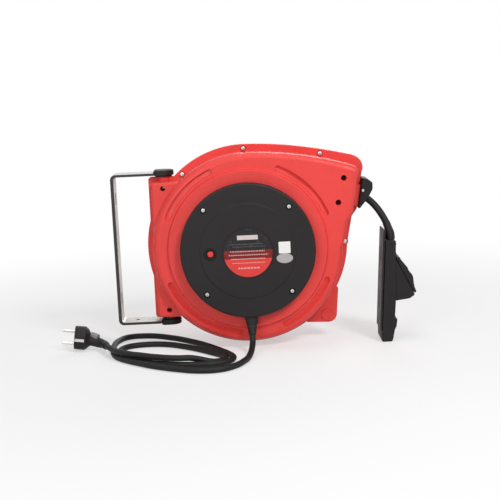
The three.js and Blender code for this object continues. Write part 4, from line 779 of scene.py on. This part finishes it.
# ---- screws
def pan_head(x, z, head_y, tip_y, radius=3.3, height=2.2, shank=1.6):
    """A pan-head screw along Y with a cross recess. Its head's underside is at head_y."""
    out = 1 if head_y > tip_y else -1
    top = head_y + out * height
    profile = [(0, top), (radius * 0.94, top - out * height * 0.1), (radius, head_y), (shank, head_y),
               (shank, tip_y + out * 1.2), (shank * 0.6, tip_y), (0, tip_y)]
    head = lathe(profile, [0, 1.2, 0.2, 0, 0, 0, 0], 32, x, z, 12)
    cuts = []
    for wide, narrow in ((0.42, 1.75), (1.75, 0.42)):
        loop = [Vector((x + sx * wide, z + sz * narrow)) for sx, sz in SQUARE]
        cuts.append(prism(loop, [(top + out * 0.1, 0), (top - out * 1.4, 0.22)]))
    return carve(head, (), cuts)


def add_screw(name, *args, **sizes):
    finish(pan_head(*args, **sizes), name, "cross", zinc)


for name, place in FLANGE_SCREWS.items():
    add_screw(name, *place, MID_Y - FLANGE - GAP, MID_Y + 12)
for name, place in WELL_SCREWS.items():
    add_screw(name, *place, MID_Y - WELL_SEAT - GAP, MID_Y + 12)
add_screw("lug_screw", *LUG, MID_Y + FLANGE + LUG_SEAT + GAP, MID_Y - FLANGE + GAP)

# ---- terminal cover
COVER_R, COVER_DEEP, COVER_WALL = 98.4, 17.7, 2.5
RAISED_R, RAISED = 69.1, 0.8
SCREW_FLOOR = 4.8
BUTTON, BUTTON_WELL = (-54.6, up(-2.3)), (-55, up(-2.3))
LABEL_R, LABEL_Z = 35.3, up(-2.5)
BOOT_STATIONS = [
    ((1, 9, 58.6), (0, 0, -1), 10.2, 6.6),
    ((1, 8.9, 49.6), (0, -0.1, -1), 9.8, 6.4),
    ((1, 6.6, 40.6), (0, -0.3, -1), 8, 5.9),
    ((1, 2.7, 31.6), (0, -0.5, -1), 6.3, 5.5),
    ((1, -0.6, 25.6), (0, -0.62, -1), 5.4, 5.3),
]


def terminal_cover():
    inner = COVER_R - COVER_WALL
    body = lathe([
        (0, 0), (RAISED_R, 0), (RAISED_R + RAISED, RAISED), (COVER_R, RAISED), (COVER_R, COVER_DEEP),
        (inner, COVER_DEEP), (inner, RAISED + COVER_WALL), (0, RAISED + COVER_WALL)],
        [0, 0.5, 0.4, 2.4, 0, 0, 1.5, 0], 192)
    joins, cuts = [], [disc(38, -OVER, 1, 0, LABEL_Z, r1=0.4, sides=96)]
    for place in COVER_SCREWS:
        joins.append(disc(6.6, COVER_WALL, COVER_DEEP, *place, sides=24))
        cuts.append(disc(4.6, -OVER, SCREW_FLOOR, *place))
        cuts.append(disc(SCREW_HOLE, 0, COVER_DEEP + OVER, *place, sides=20))
    joins.append(disc(11.5, COVER_WALL, 7, *BUTTON_WELL))
    cuts.append(disc(9.5, -OVER, 5, *BUTTON_WELL, r1=0.8, sides=48))
    cuts.append(disc(5.2, 0, 10, *BUTTON_WELL))
    gate = [(at, heading, wide + GAP, high + GAP) for at, heading, wide, high in BOOT_STATIONS[:3]]
    cuts.append(loft(gate, ACROSS))
    return carve(body, joins, cuts)


def supply_boot():
    """The sleeve under the cover. Its lower part has rings, three stations wide and three apart."""
    stations = []
    for k, (at, heading, wide, high) in enumerate(between(BOOT_STATIONS, 10)):
        rib = 0.45 if k >= 18 and (k // 3) % 2 else 0.0
        stations.append((at, heading, wide - rib, high - rib))
    return loft(stations, ACROSS, 40)


finish(terminal_cover(), "terminal_cover", "moulding", cover_black)
for count, place in enumerate(COVER_SCREWS, 1):
    add_screw(f"cover_screw_{count}", *place, SCREW_FLOOR - GAP, 25)
finish(supply_boot(), "supply_boot", "sleeve", black_rubber)


# ---- label, stickers and button
# Each band: its edges (low, high, left, right) from the label's middle, its colour, its dashes in a metre and
# how much of each dash is filled.
LABEL_BANDS = [
    ((-40, 4.2, -40, 40), (0.19, 0.006, 0.006), 0, 1),
    ((-40, -8.4, -40, 40), (0.66, 0.043, 0.037), 0, 1),
    ((19.5, 26, -15, 15), (0.60, 0.52, 0.50), 0, 1),
    ((12.4, 13.6, -26, 22), (0.09, 0.085, 0.085), 330, 0.7),
    ((8.8, 10, -22, 25), (0.09, 0.085, 0.085), 290, 0.6),
    ((1.8, 3.2, -26, 24), (0.52, 0.38, 0.37), 260, 0.75),
    ((-3.4, -2, -29, 29), (0.55, 0.40, 0.39), 300, 0.7),
    ((-8.8, -8, -25, 25), (0.62, 0.46, 0.44), 0, 1),
    ((-15, -13.8, -24, 24), (0.72, 0.28, 0.26), 250, 0.8),
    ((-23, -21, -15, 16), (0.74, 0.36, 0.34), 210, 0.75),
]


def label_look():
    """A plain round label: black above, red below, with pale bars and rows of dashes."""
    made = Look("label_film", "label_film", (0.010, 0.0085, 0.0088), 0.4, specular=0.3)
    place = made.node("SeparateXYZ", {"Vector": made.place}).outputs
    middle = row(0, 0, LABEL_Z)
    for (low, high, left, right), colour, per_metre, filled in LABEL_BANDS:
        level = made.math("COMPARE", place["Z"], middle.z + (low + high) / 2000, (high - low) / 2000)
        along = made.math("COMPARE", place["X"], middle.x + (left + right) / 2000, (right - left) / 2000)
        shown = made.math("MULTIPLY", level, along)
        if per_metre:
            turn = made.math("FRACT", made.math("MULTIPLY", place["X"], per_metre))
            shown = made.math("MULTIPLY", shown, made.math("LESS_THAN", turn, filled))
        made.tint(shown, colour)
    made.tint(made.spread(made.noise(180, 3), 0.55, 0.8, 0, 0.12), (0.3, 0.28, 0.28))
    made.vary_roughness(made.noise(60, 4), 0.34, 0.48)
    made.relief(made.noise(900, 2), 0.01, 0.4)
    return made


def sticker(outline):
    return slab(outline, -0.6, -0.3, 0.1)


label = lathe([(0, 0.2), (LABEL_R, 0.2), (LABEL_R, 0.7), (0, 0.7)], [0, 0.15, 0, 0], z=LABEL_Z)
finish(label, "rating_label", "film", label_look())
square = sticker(rectangle(44.5, 61.5, up(-5.1), up(11.9), 0.8))
finish(square, "square_sticker", "film", white_film)
oval = sticker(ring_of(11.9, 64, 52.8, up(-12.3), 7.2))
finish(oval, "oval_sticker", "film", grey_film)
button_profile = [(0, 1.5), (2.4, 1.35), (4.4, 1.2), (4.4, 7), (0, 7)]
button = lathe(button_profile, [0, 0.5, 1.0, 0, 0], 48, *BUTTON)
finish(button, "reset_button", "cap", button_red, "button")

# ---- axle and roller pins
AXLE_R = 8
rear_seat = MID_Y + HUB_FLOOR + GAP
axle_profile = [
    (0, 13), (AXLE_R - 1, 13), (AXLE_R, 14), (AXLE_R, rear_seat), (17, rear_seat), (17, rear_seat + 2),
    (11, rear_seat + 2), (10, rear_seat + 4.2), (0, rear_seat + 4.2),
]
axle = lathe(axle_profile, [0, 0.3, 0.3, 0, 0.4, 0.6, 0.3, 0.8, 0], 64)
finish(axle, "axle", "turned", zinc)
for xz, place in zip(ROLLERS, ("upper", "lower")):
    pin = disc(ROLLER_PIN_R, MID_Y - ROLLER_PIN_HALF, MID_Y + ROLLER_PIN_HALF, *xz, r0=0.6, r1=0.6)
    finish(pin, f"roller_pin_{place}", "turned", blued)

# ---- cable stop
STOP = [
    (-18.5, 0.3), (-18.5, 3.2), (-6.2, 10.6), (2.5, 14.7), (12.2, 18.2), (21.7, 16.8), (26.5, 7.8), (27, 0.3),
]
STOP_SCREW = mouth_point(8.6, 3.8)
STOP_HALF = 18


def cable_stop(side):
    outline = rounded([mouth_point(*p) for p in STOP], [0.6, 1.2, 3, 8, 5, 3, 2, 0.6], 12)
    body = slab(outline, MID_Y + side * STOP_HALF, MID_Y + side * SEAM, 1.2, 0.25)
    return carve(body, (), [cable_room(CABLE_R + GAP, range(70, 151, 4)), disc(1.7, 0, 200, *STOP_SCREW)])


for side, place in ((FRONT, "front"), (REAR, "rear")):
    finish(cable_stop(side), f"cable_stop_{place}", "half", black_rubber)
add_screw("stop_screw", *STOP_SCREW, MID_Y - STOP_HALF - GAP, 90, radius=2.3, height=1.8, shank=1.4)

# ---- outlet socket
SOCKET_Y = 51.0
TRUNK_HALF, TOWER_HALF, LID_HALF = 25, 23, 22
SOCKET_BOOT = 25.5
FACE_DOWN = Vector((0.43994, 0, -0.89803))
FACE_OUT = Vector((0.89803, 0, 0.43994))
FACE_TOP = Vector((219.13, SOCKET_Y, 120.9))
WELL_AT = 29  # the contacts' well, down the slanted face
HINGE = (-1.5, 3.4)


def face_point(down, out, across=0.0):
    return FACE_TOP + FACE_DOWN * down + FACE_OUT * out + INWARD * across


def face_flat(down, out):
    p = face_point(down, out)
    return (p.x, p.z)


def face_bar(out0, out1, radius, across=0.0, sides=64, tip=0.0):
    """A round bar square to the slanted face, at the contacts' well."""
    return bar(face_point(WELL_AT, out0, across), face_point(WELL_AT, out1, across), radius, sides, tip)


def hinge_bar(half, radius):
    return bar(face_point(*HINGE, -half), face_point(*HINGE, half), radius)


def socket_slab(outline, half, edge=0.0):
    return slab(outline, SOCKET_Y - half, SOCKET_Y + half, edge, edge)


def socket_body():
    trunk = [(193.3, 0), (208.8, 0), (210.7, 6), (212.9, 17.5), (215.7, 23), (217.2, 34), (213.5, 35.5),
             (215.5, 60), (217.7, 151.5), (202.7, 151.5), (194.6, 17.2), (193.2, 17.2)]
    trunk = rounded(trunk, [2.5, 2.5, 0, 1.5, 1.5, 1.2, 1.5, 0, 1, 1, 0.3, 0.3], 12)
    tower = [(207.9, 124.4), (216.3, 124.4), face_flat(0, 0), face_flat(58, 0), (236.4, 63.5), (207.9, 60)]
    tower = rounded(tower, [0, 1.5, 1.5, 2.5, 6, 0], 12)
    collar = rounded([(202.2, 145.9), (218.2, 145.9), (218.2, 147.5), (202.3, 147.5)], 0.5)
    joins = [socket_slab(tower, TOWER_HALF, 2.5), socket_slab(collar, TRUNK_HALF + 0.4, 0.4)]
    cuts = [face_bar(1, -16, 19.5), face_bar(0, -25.3, 17.5), hinge_bar(46, 3.1)]
    return carve(socket_slab(trunk, TRUNK_HALF, 0.9), joins, cuts)


def socket_lid():
    outline = [face_flat(*p) for p in (
        (1.5, 0.3), (3, 6), (16.3, 9), (23.5, 7.9), (28.8, 10.2),
        (34, 9.4), (40.5, 6.7), (48, 4.6), (54.6, 4.2), (55.6, 0.3))]
    outline = rounded(outline, [1.2, 2, 3, 2, 1.5, 2, 3, 4, 1.5, 1.2], 12)
    web = [Vector(face_flat(*p)) for p in (HINGE, (3.4, 1.2), (5, 6.2), (0, 5.6))]
    return carve(socket_slab(outline, LID_HALF, 1.1), [hinge_bar(LID_HALF, 2.6), socket_slab(web, LID_HALF)])


def socket_insert():
    holes = [face_bar(-15, -23, 2.8, across, 24) for across in (-9.5, 9.5)]
    return carve(face_bar(-25, -16, 17.2, tip=0.6), (), holes)


def socket_plate():
    outline = [(191.3, 17.7), (194.1, 17.7), (201.1, 139), (202.9, 167.4), (199.8, 168)]
    return slab(rounded(outline, [1, 1, 0, 1.2, 1.2]), 26.8, 74.8, 0.8, 0.8)


def socket_boot():
    shape = [(0, 7.2, 12), (4, 7.2, 11.6), (8, 7.2, 10.5), (10, 6.8, 9.6), (12, 6.3, 8.5), (16, 5.8, 7.2),
             (20, 5.65, 6.5), (SOCKET_BOOT, 5.5, 5.9)]
    stations = []
    for distance, wide, high in shape:
        s = output_route.length - distance
        heading = -output_route.heading(s) if distance else (0, 0, 1)
        stations.append((output_route.at(s), heading, wide, high))
    return loft(stations, ACROSS, 48, 2.4)


outlet = finish(socket_body(), "socket_body", "moulding", black_rubber)
finish(socket_lid(), "socket_lid", "flap", black_rubber, "lid")
finish(socket_insert(), "socket_insert", "face", grey_part)
finish(socket_plate(), "socket_back_plate", "moulding", cover_black)
outlet_boot = finish(socket_boot(), "socket_boot", "sleeve", black_rubber)

# ---- wall bracket
STRAP_X, STRAP_HALF, STRAP_THICK = -199.5, 18, 5
ARM_HALF_HEIGHT, ARM_THICK = 114, 4
ARM_TOP, ARM_LOW = up(ARM_HALF_HEIGHT), up(-ARM_HALF_HEIGHT)
ARM_END_R, CAP_R, CAP_REACH = 12.8, 15.3, 14
PIVOT_BORE = 5.3
SLOT_HALF, SLOT_RISE = 10, 76


def round_ended(corners, radius):
    """An outline from above, alike on both sides of the parting plane, with a round end at the pivot."""
    middle = Vector((PIVOT_X, MID_Y))
    near, far = ([Vector((x, MID_Y + sign * y)) for x, y in corners] for sign in SIDES)
    return near + [middle + radius * circle(-90 + 180 * i / 24) for i in range(25)] + far[::-1]


def arm_loop(start_x, half, end_radius):
    """An arm from above: as wide as the strap up to the cap, then narrower, with a round end."""
    narrow = PIVOT_X - CAP_REACH - GAP
    return round_ended([(start_x, half), (narrow, half), (narrow, end_radius)], end_radius)


def wall_bracket():
    y0, y1 = MID_Y - STRAP_HALF, MID_Y + STRAP_HALF
    outside = slab(rectangle(STRAP_X, -60, ARM_LOW, ARM_TOP, 8), y0, y1, 0.5, 0.5, steps=3)
    room = rectangle(STRAP_X + STRAP_THICK, -50, ARM_LOW + ARM_THICK, ARM_TOP - ARM_THICK, 4)
    plan = slab(arm_loop(STRAP_X - OVER, STRAP_HALF, ARM_END_R), ARM_LOW - OVER, ARM_TOP + OVER, along="z")
    strap = carve(outside, (), [slab(room, y0 - 7, y1 + 7)], plan)
    cuts = []
    for rise in (SLOT_RISE, -SLOT_RISE):
        slot = rectangle(MID_Y - 3.5, MID_Y + 3.5, up(rise) - SLOT_HALF, up(rise) + SLOT_HALF)
        cuts.append(slab(rounded(slot, 3.49, 12), STRAP_X - 5, STRAP_X + 15, along="x"))
    bore = post(PIVOT_X, ARM_LOW - OVER, ARM_TOP + OVER, PIVOT_BORE)
    hole = post(PIVOT_X - 51, ARM_LOW - OVER, ARM_LOW + ARM_THICK + OVER, 3)
    return carve(strap, (), [*cuts, bore, hole])


def bracket_cap(direction):
    arm = up(direction * (ARM_HALF_HEIGHT - ARM_THICK / 2))
    slot_near = arm - direction * 2.3
    x0 = PIVOT_X - CAP_REACH
    loop = round_ended([(x0, CAP_R - 3), (x0 + 3, CAP_R)], CAP_R)
    body = slab(loop, slot_near - direction * 0.4, arm + direction * 5.2, 0.6, 1.6, along="z")
    washer = post(PIVOT_X, slot_near, up(direction * (BOX_HALF + GAP)), 12.6, 48, 0.4)
    space = slab(arm_loop(STRAP_X, ARM_END_R + GAP, ARM_END_R + GAP), arm - 2.3, arm + 2.3, along="z")
    pin = post(PIVOT_X, up(direction * 96), arm + direction * 2, PIVOT_BORE)
    return carve(body, [washer], [space, pin])


bracket = finish(wall_bracket(), "wall_bracket", "strip", steel_face, "bracket")
# The strip's cut edges, the faces square to Y, take the near-black colour: a painted dark reflection.
bracket.data.materials.append(edge_painted_dark_reflection.material)
for face in bracket.data.polygons:
    if abs(face.normal.y) > 0.8:
        face.material_index = 1
for place, direction in (("upper", 1), ("lower", -1)):
    finish(bracket_cap(direction), f"bracket_cap_{place}", "moulding", cover_black, "bracket")

# ---- plug
PLUG_TURN, PLUG_PITCH = math.radians(4), math.radians(8)
PLUG_R = 17.8
PIN_HALF_PITCH, PIN_R, PIN_LONG = 9.5, 2.4, 19


def turned_along(turn):
    """The plug's axis, turned level by some degrees as its neck bends."""
    level = PLUG_TURN - math.radians(turn)
    flat = math.cos(PLUG_PITCH)
    return Vector((math.cos(level) * flat, math.sin(level) * flat, -math.sin(PLUG_PITCH)))


PLUG_ALONG = turned_along(0)
PLUG_SIDE = Vector((-math.sin(PLUG_TURN), math.cos(PLUG_TURN), 0))
PLUG_UP = PLUG_ALONG.cross(PLUG_SIDE)
PLUG_FACE = Vector((-268.3, 61, 20.1))


def plug_point(along, side=0.0, rise=0.0):
    return PLUG_FACE + PLUG_ALONG * along + PLUG_SIDE * side + PLUG_UP * rise


def plug_station(along, wide, high, rise=0.0, side=0.0, turn=0.0):
    return (plug_point(along, side, rise), turned_along(turn), wide, high)


def plug_pin(direction, radius, root, tip=0.0):
    rise = PIN_HALF_PITCH * direction
    return bar(plug_point(root, 0, rise), plug_point(-PIN_LONG, 0, rise), radius, 32, tip)


def beam(along0, along1, side0, side1, half):
    corners = ((along0, side0), (along1, side0), (along1, side1), (along0, side1))
    return skin([[plug_point(a, s, rise) for a, s in corners] for rise in (-half, half)])


def earth_clip(extra):
    """The side contact, or with extra its room in the plug."""
    half = 2.2 + extra
    strips = [
        beam(0.8 - extra, 15 + extra, -18.2 - extra, -16.2 + extra, half),
        beam(0.8 - extra, 15 + extra, 16.2 - extra, 18.2 + extra, half),
    ]
    return carve(beam(5 - extra, 8 + extra, -16.8, 16.8, 1 + extra), strips)


def plug_body():
    """The plug from its face to the supply cord: (along, wide, high, rise, side, turn) at each station."""
    steps = ((0, 1.2), (0.3, 0.6), (1, 0), (2.4, 0), (2.8, 0.35), (3.8, 0.35), (4.2, 0))
    front = [plug_station(along, PLUG_R - less, PLUG_R - less) for along, less in steps]
    end = supply_route.length
    rest = [plug_station(*s) for s in (
        (4.2, PLUG_R, PLUG_R), (14, PLUG_R, PLUG_R), (16.5, 17.4, 17.4), (21, 13.6, 13.6),
        (24.5, 10.5, 9, -1.5, -2.5, 6), (30, 9.5, 8, -2.5, -4.5, 14), (36, 8.8, 7.5, -3.3, -7.2, 28),
        (42, 7.6, 6.8, -3.7, -12, 46), (47, 6.6, 6.1, -3, -20.5, 64))]
    rest.append((supply_route.at(end), -supply_route.heading(end), 5.8, 5.5))
    holes = [plug_pin(direction, PIN_R + GAP, 12.3) for direction in SIDES]
    return carve(loft(front + between(rest, 6)[1:], PLUG_SIDE, 64), (), [*holes, earth_clip(GAP)])


def thumb_rest():
    stations = [plug_station(*s) for s in (
        (24.4, 4.6, 3, 6.3, -2.5, 10), (25.4, 5.8, 4.2, 6.3, -2.8, 10), (34.6, 5.8, 4, 4.6, -6.2, 20),
        (36, 4.6, 3, 3.8, -6.8, 20))]
    return loft(between(stations, 5), PLUG_SIDE, 40, 4.0)


plug = dress(plug_body(), "plug_moulding", black_rubber)
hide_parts("plug_body")
tab = dress(thumb_rest(), "plug_thumb_rest", grey_part)
pins = [
    finish(plug_pin(direction, PIN_R, 12, 1.6), f"plug_pin_{place}", "turned", nickel)
    for place, direction in (("upper", 1), ("lower", -1))
]
clip = finish(earth_clip(0), "plug_earth_clip", "strip", nickel)


# ---- the wound cable
def winding_points():
    """Layers of turns on the drum, each layer running back over the one below it."""
    layers, turns, core, pitch = 5, 4.75, 55.3, 10.95
    rise = 0.99 * 2 * CABLE_R
    travel = turns * pitch / 2
    first = math.radians(80.5) - 2 * math.pi * turns * layers
    steps = int(turns * 60)
    made = []
    for layer in range(layers):
        for k in range(steps):
            t = k / steps
            angle = first + 2 * math.pi * turns * (layer + t)
            lift = min(1.0, t * turns * 4) if layer else 1.0
            r = core + (layer + 0.5) * rise - (1 - lift) * rise
            y = MID_Y + travel * (2 * t - 1) * (-1) ** layer
            made.append(Vector((r * math.cos(angle), y, up(r * math.sin(angle)))))
    return made


cable("cable_winding_turns", winding_points(), CABLE_R, "drum", ["cable_winding"], 6)

# ---- materials of the solids that stay
KEPT = [
    (cover_black, "overload_switch roller_upper roller_lower"),
    (grey_part, "terminal_block brush_holder drum_front drum_rear"),
    (carbon, "brush_line brush_neutral brush_earth"),
    (spring_steel, "mainspring ratchet_pawl pawl_spring"),
    (zinc, "pawl_pin pivot_pin_upper pivot_pin_lower"),
    (brass, "slip_ring"),
]
for look, names in KEPT:
    for name in names.split():
        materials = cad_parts[name].data.materials
        materials.clear()
        materials.append(look.material)


# ---- the cords' first points and lengths, worked out and not used
def run_length(points):
    return sum((b - a).length for a, b in zip(points, points[1:])) / 1000


tuple(row(*supply_line[0]))
run_length(supply_line)
tuple(row(*output_line[0]))
run_length(output_line)

# ---- floor, light and background
WHITE = (1, 1, 1, 1)
AMBIENT = 0.24
FLOOR_HALF, FLOOR_DROP = 9, 0.0004
FLOOR_TONE = (0.86, 0.86, 0.86, 1)
FADE = {"From Min": 0.3, "From Max": 1.1, "To Min": 0.5}  # how white the floor is, by distance in metres
AIM = (0, 0, 0.15)


def seen_only(tree):
    """A value that is 1 for what the camera, a mirror or glass sees, and 0 for light on the object."""
    path = add_node(tree, "LightPath").outputs
    seen = path["Is Camera Ray"]
    for other in ("Is Glossy Ray", "Is Transmission Ray"):
        seen = add_node(tree, "Math", {0: seen, 1: path[other]}, operation="MAXIMUM").outputs[0]
    return seen


def mixed(tree, share, first, second):
    return add_node(tree, "MixShader", {0: share, 1: first.outputs[0], 2: second.outputs[0]}).outputs[0]


world = bpy.data.worlds.new("studio")
scene.world = world
world.use_nodes = True
tree = world.node_tree
tree.nodes.clear()
ambient = add_node(tree, "Background", {"Color": WHITE, "Strength": AMBIENT})
shown = add_node(tree, "Background", {"Color": WHITE, "Strength": 1.0})
add_node(tree, "OutputWorld", {"Surface": mixed(tree, seen_only(tree), ambient, shown)})

floor_mesh = bpy.data.meshes.new("floor")
corners = [(sx * FLOOR_HALF, sy * FLOOR_HALF, -FLOOR_DROP) for sx, sy in SQUARE]
floor_mesh.from_pydata(corners, [], [(0, 1, 2, 3)])
floor = add_object("floor", floor_mesh)
paper = bpy.data.materials.new("paper")
paper.use_nodes = True
tree = paper.node_tree
matte = tree.nodes["Principled BSDF"]
matte.inputs["Base Color"].default_value = FLOOR_TONE
matte.inputs["Roughness"].default_value = 0.9
matte.inputs["Specular IOR Level"].default_value = 0.0
glow = add_node(tree, "Emission", {"Color": WHITE, "Strength": 1.0})
place = add_node(tree, "TexCoord").outputs["Object"]
distance = add_node(tree, "VectorMath", {0: place}, operation="LENGTH").outputs["Value"]
fade = add_node(tree, "MapRange", {"Value": distance, **FADE}, interpolation_type="SMOOTHSTEP")
share = add_node(tree, "Math", {0: fade.outputs[0], 1: seen_only(tree)}, operation="MULTIPLY").outputs[0]
tree.links.new(mixed(tree, share, matte, glow), tree.nodes["Material Output"].inputs["Surface"])
floor_mesh.materials.append(paper)


def lamp(name, at, size, energy):
    data = bpy.data.lights.new(name, "AREA")
    data.shape = "DISK"
    data.size = size
    data.energy = energy
    made = add_object(name, data)
    made.location = at
    made.rotation_mode = "QUATERNION"
    made.rotation_quaternion = (Vector(at) - Vector(AIM)).to_track_quat("Z", "Y")


lamp("key", (0.95, -1.6, 1.7), 0.6, 29)
lamp("fill", (-0.9, -2.1, 0.9), 1.2, 15)
lamp("top", (-0.1, -0.2, 2.0), 1.2, 9)
lamp("back", (0.6, 2.2, 1.2), 1.4, 16)
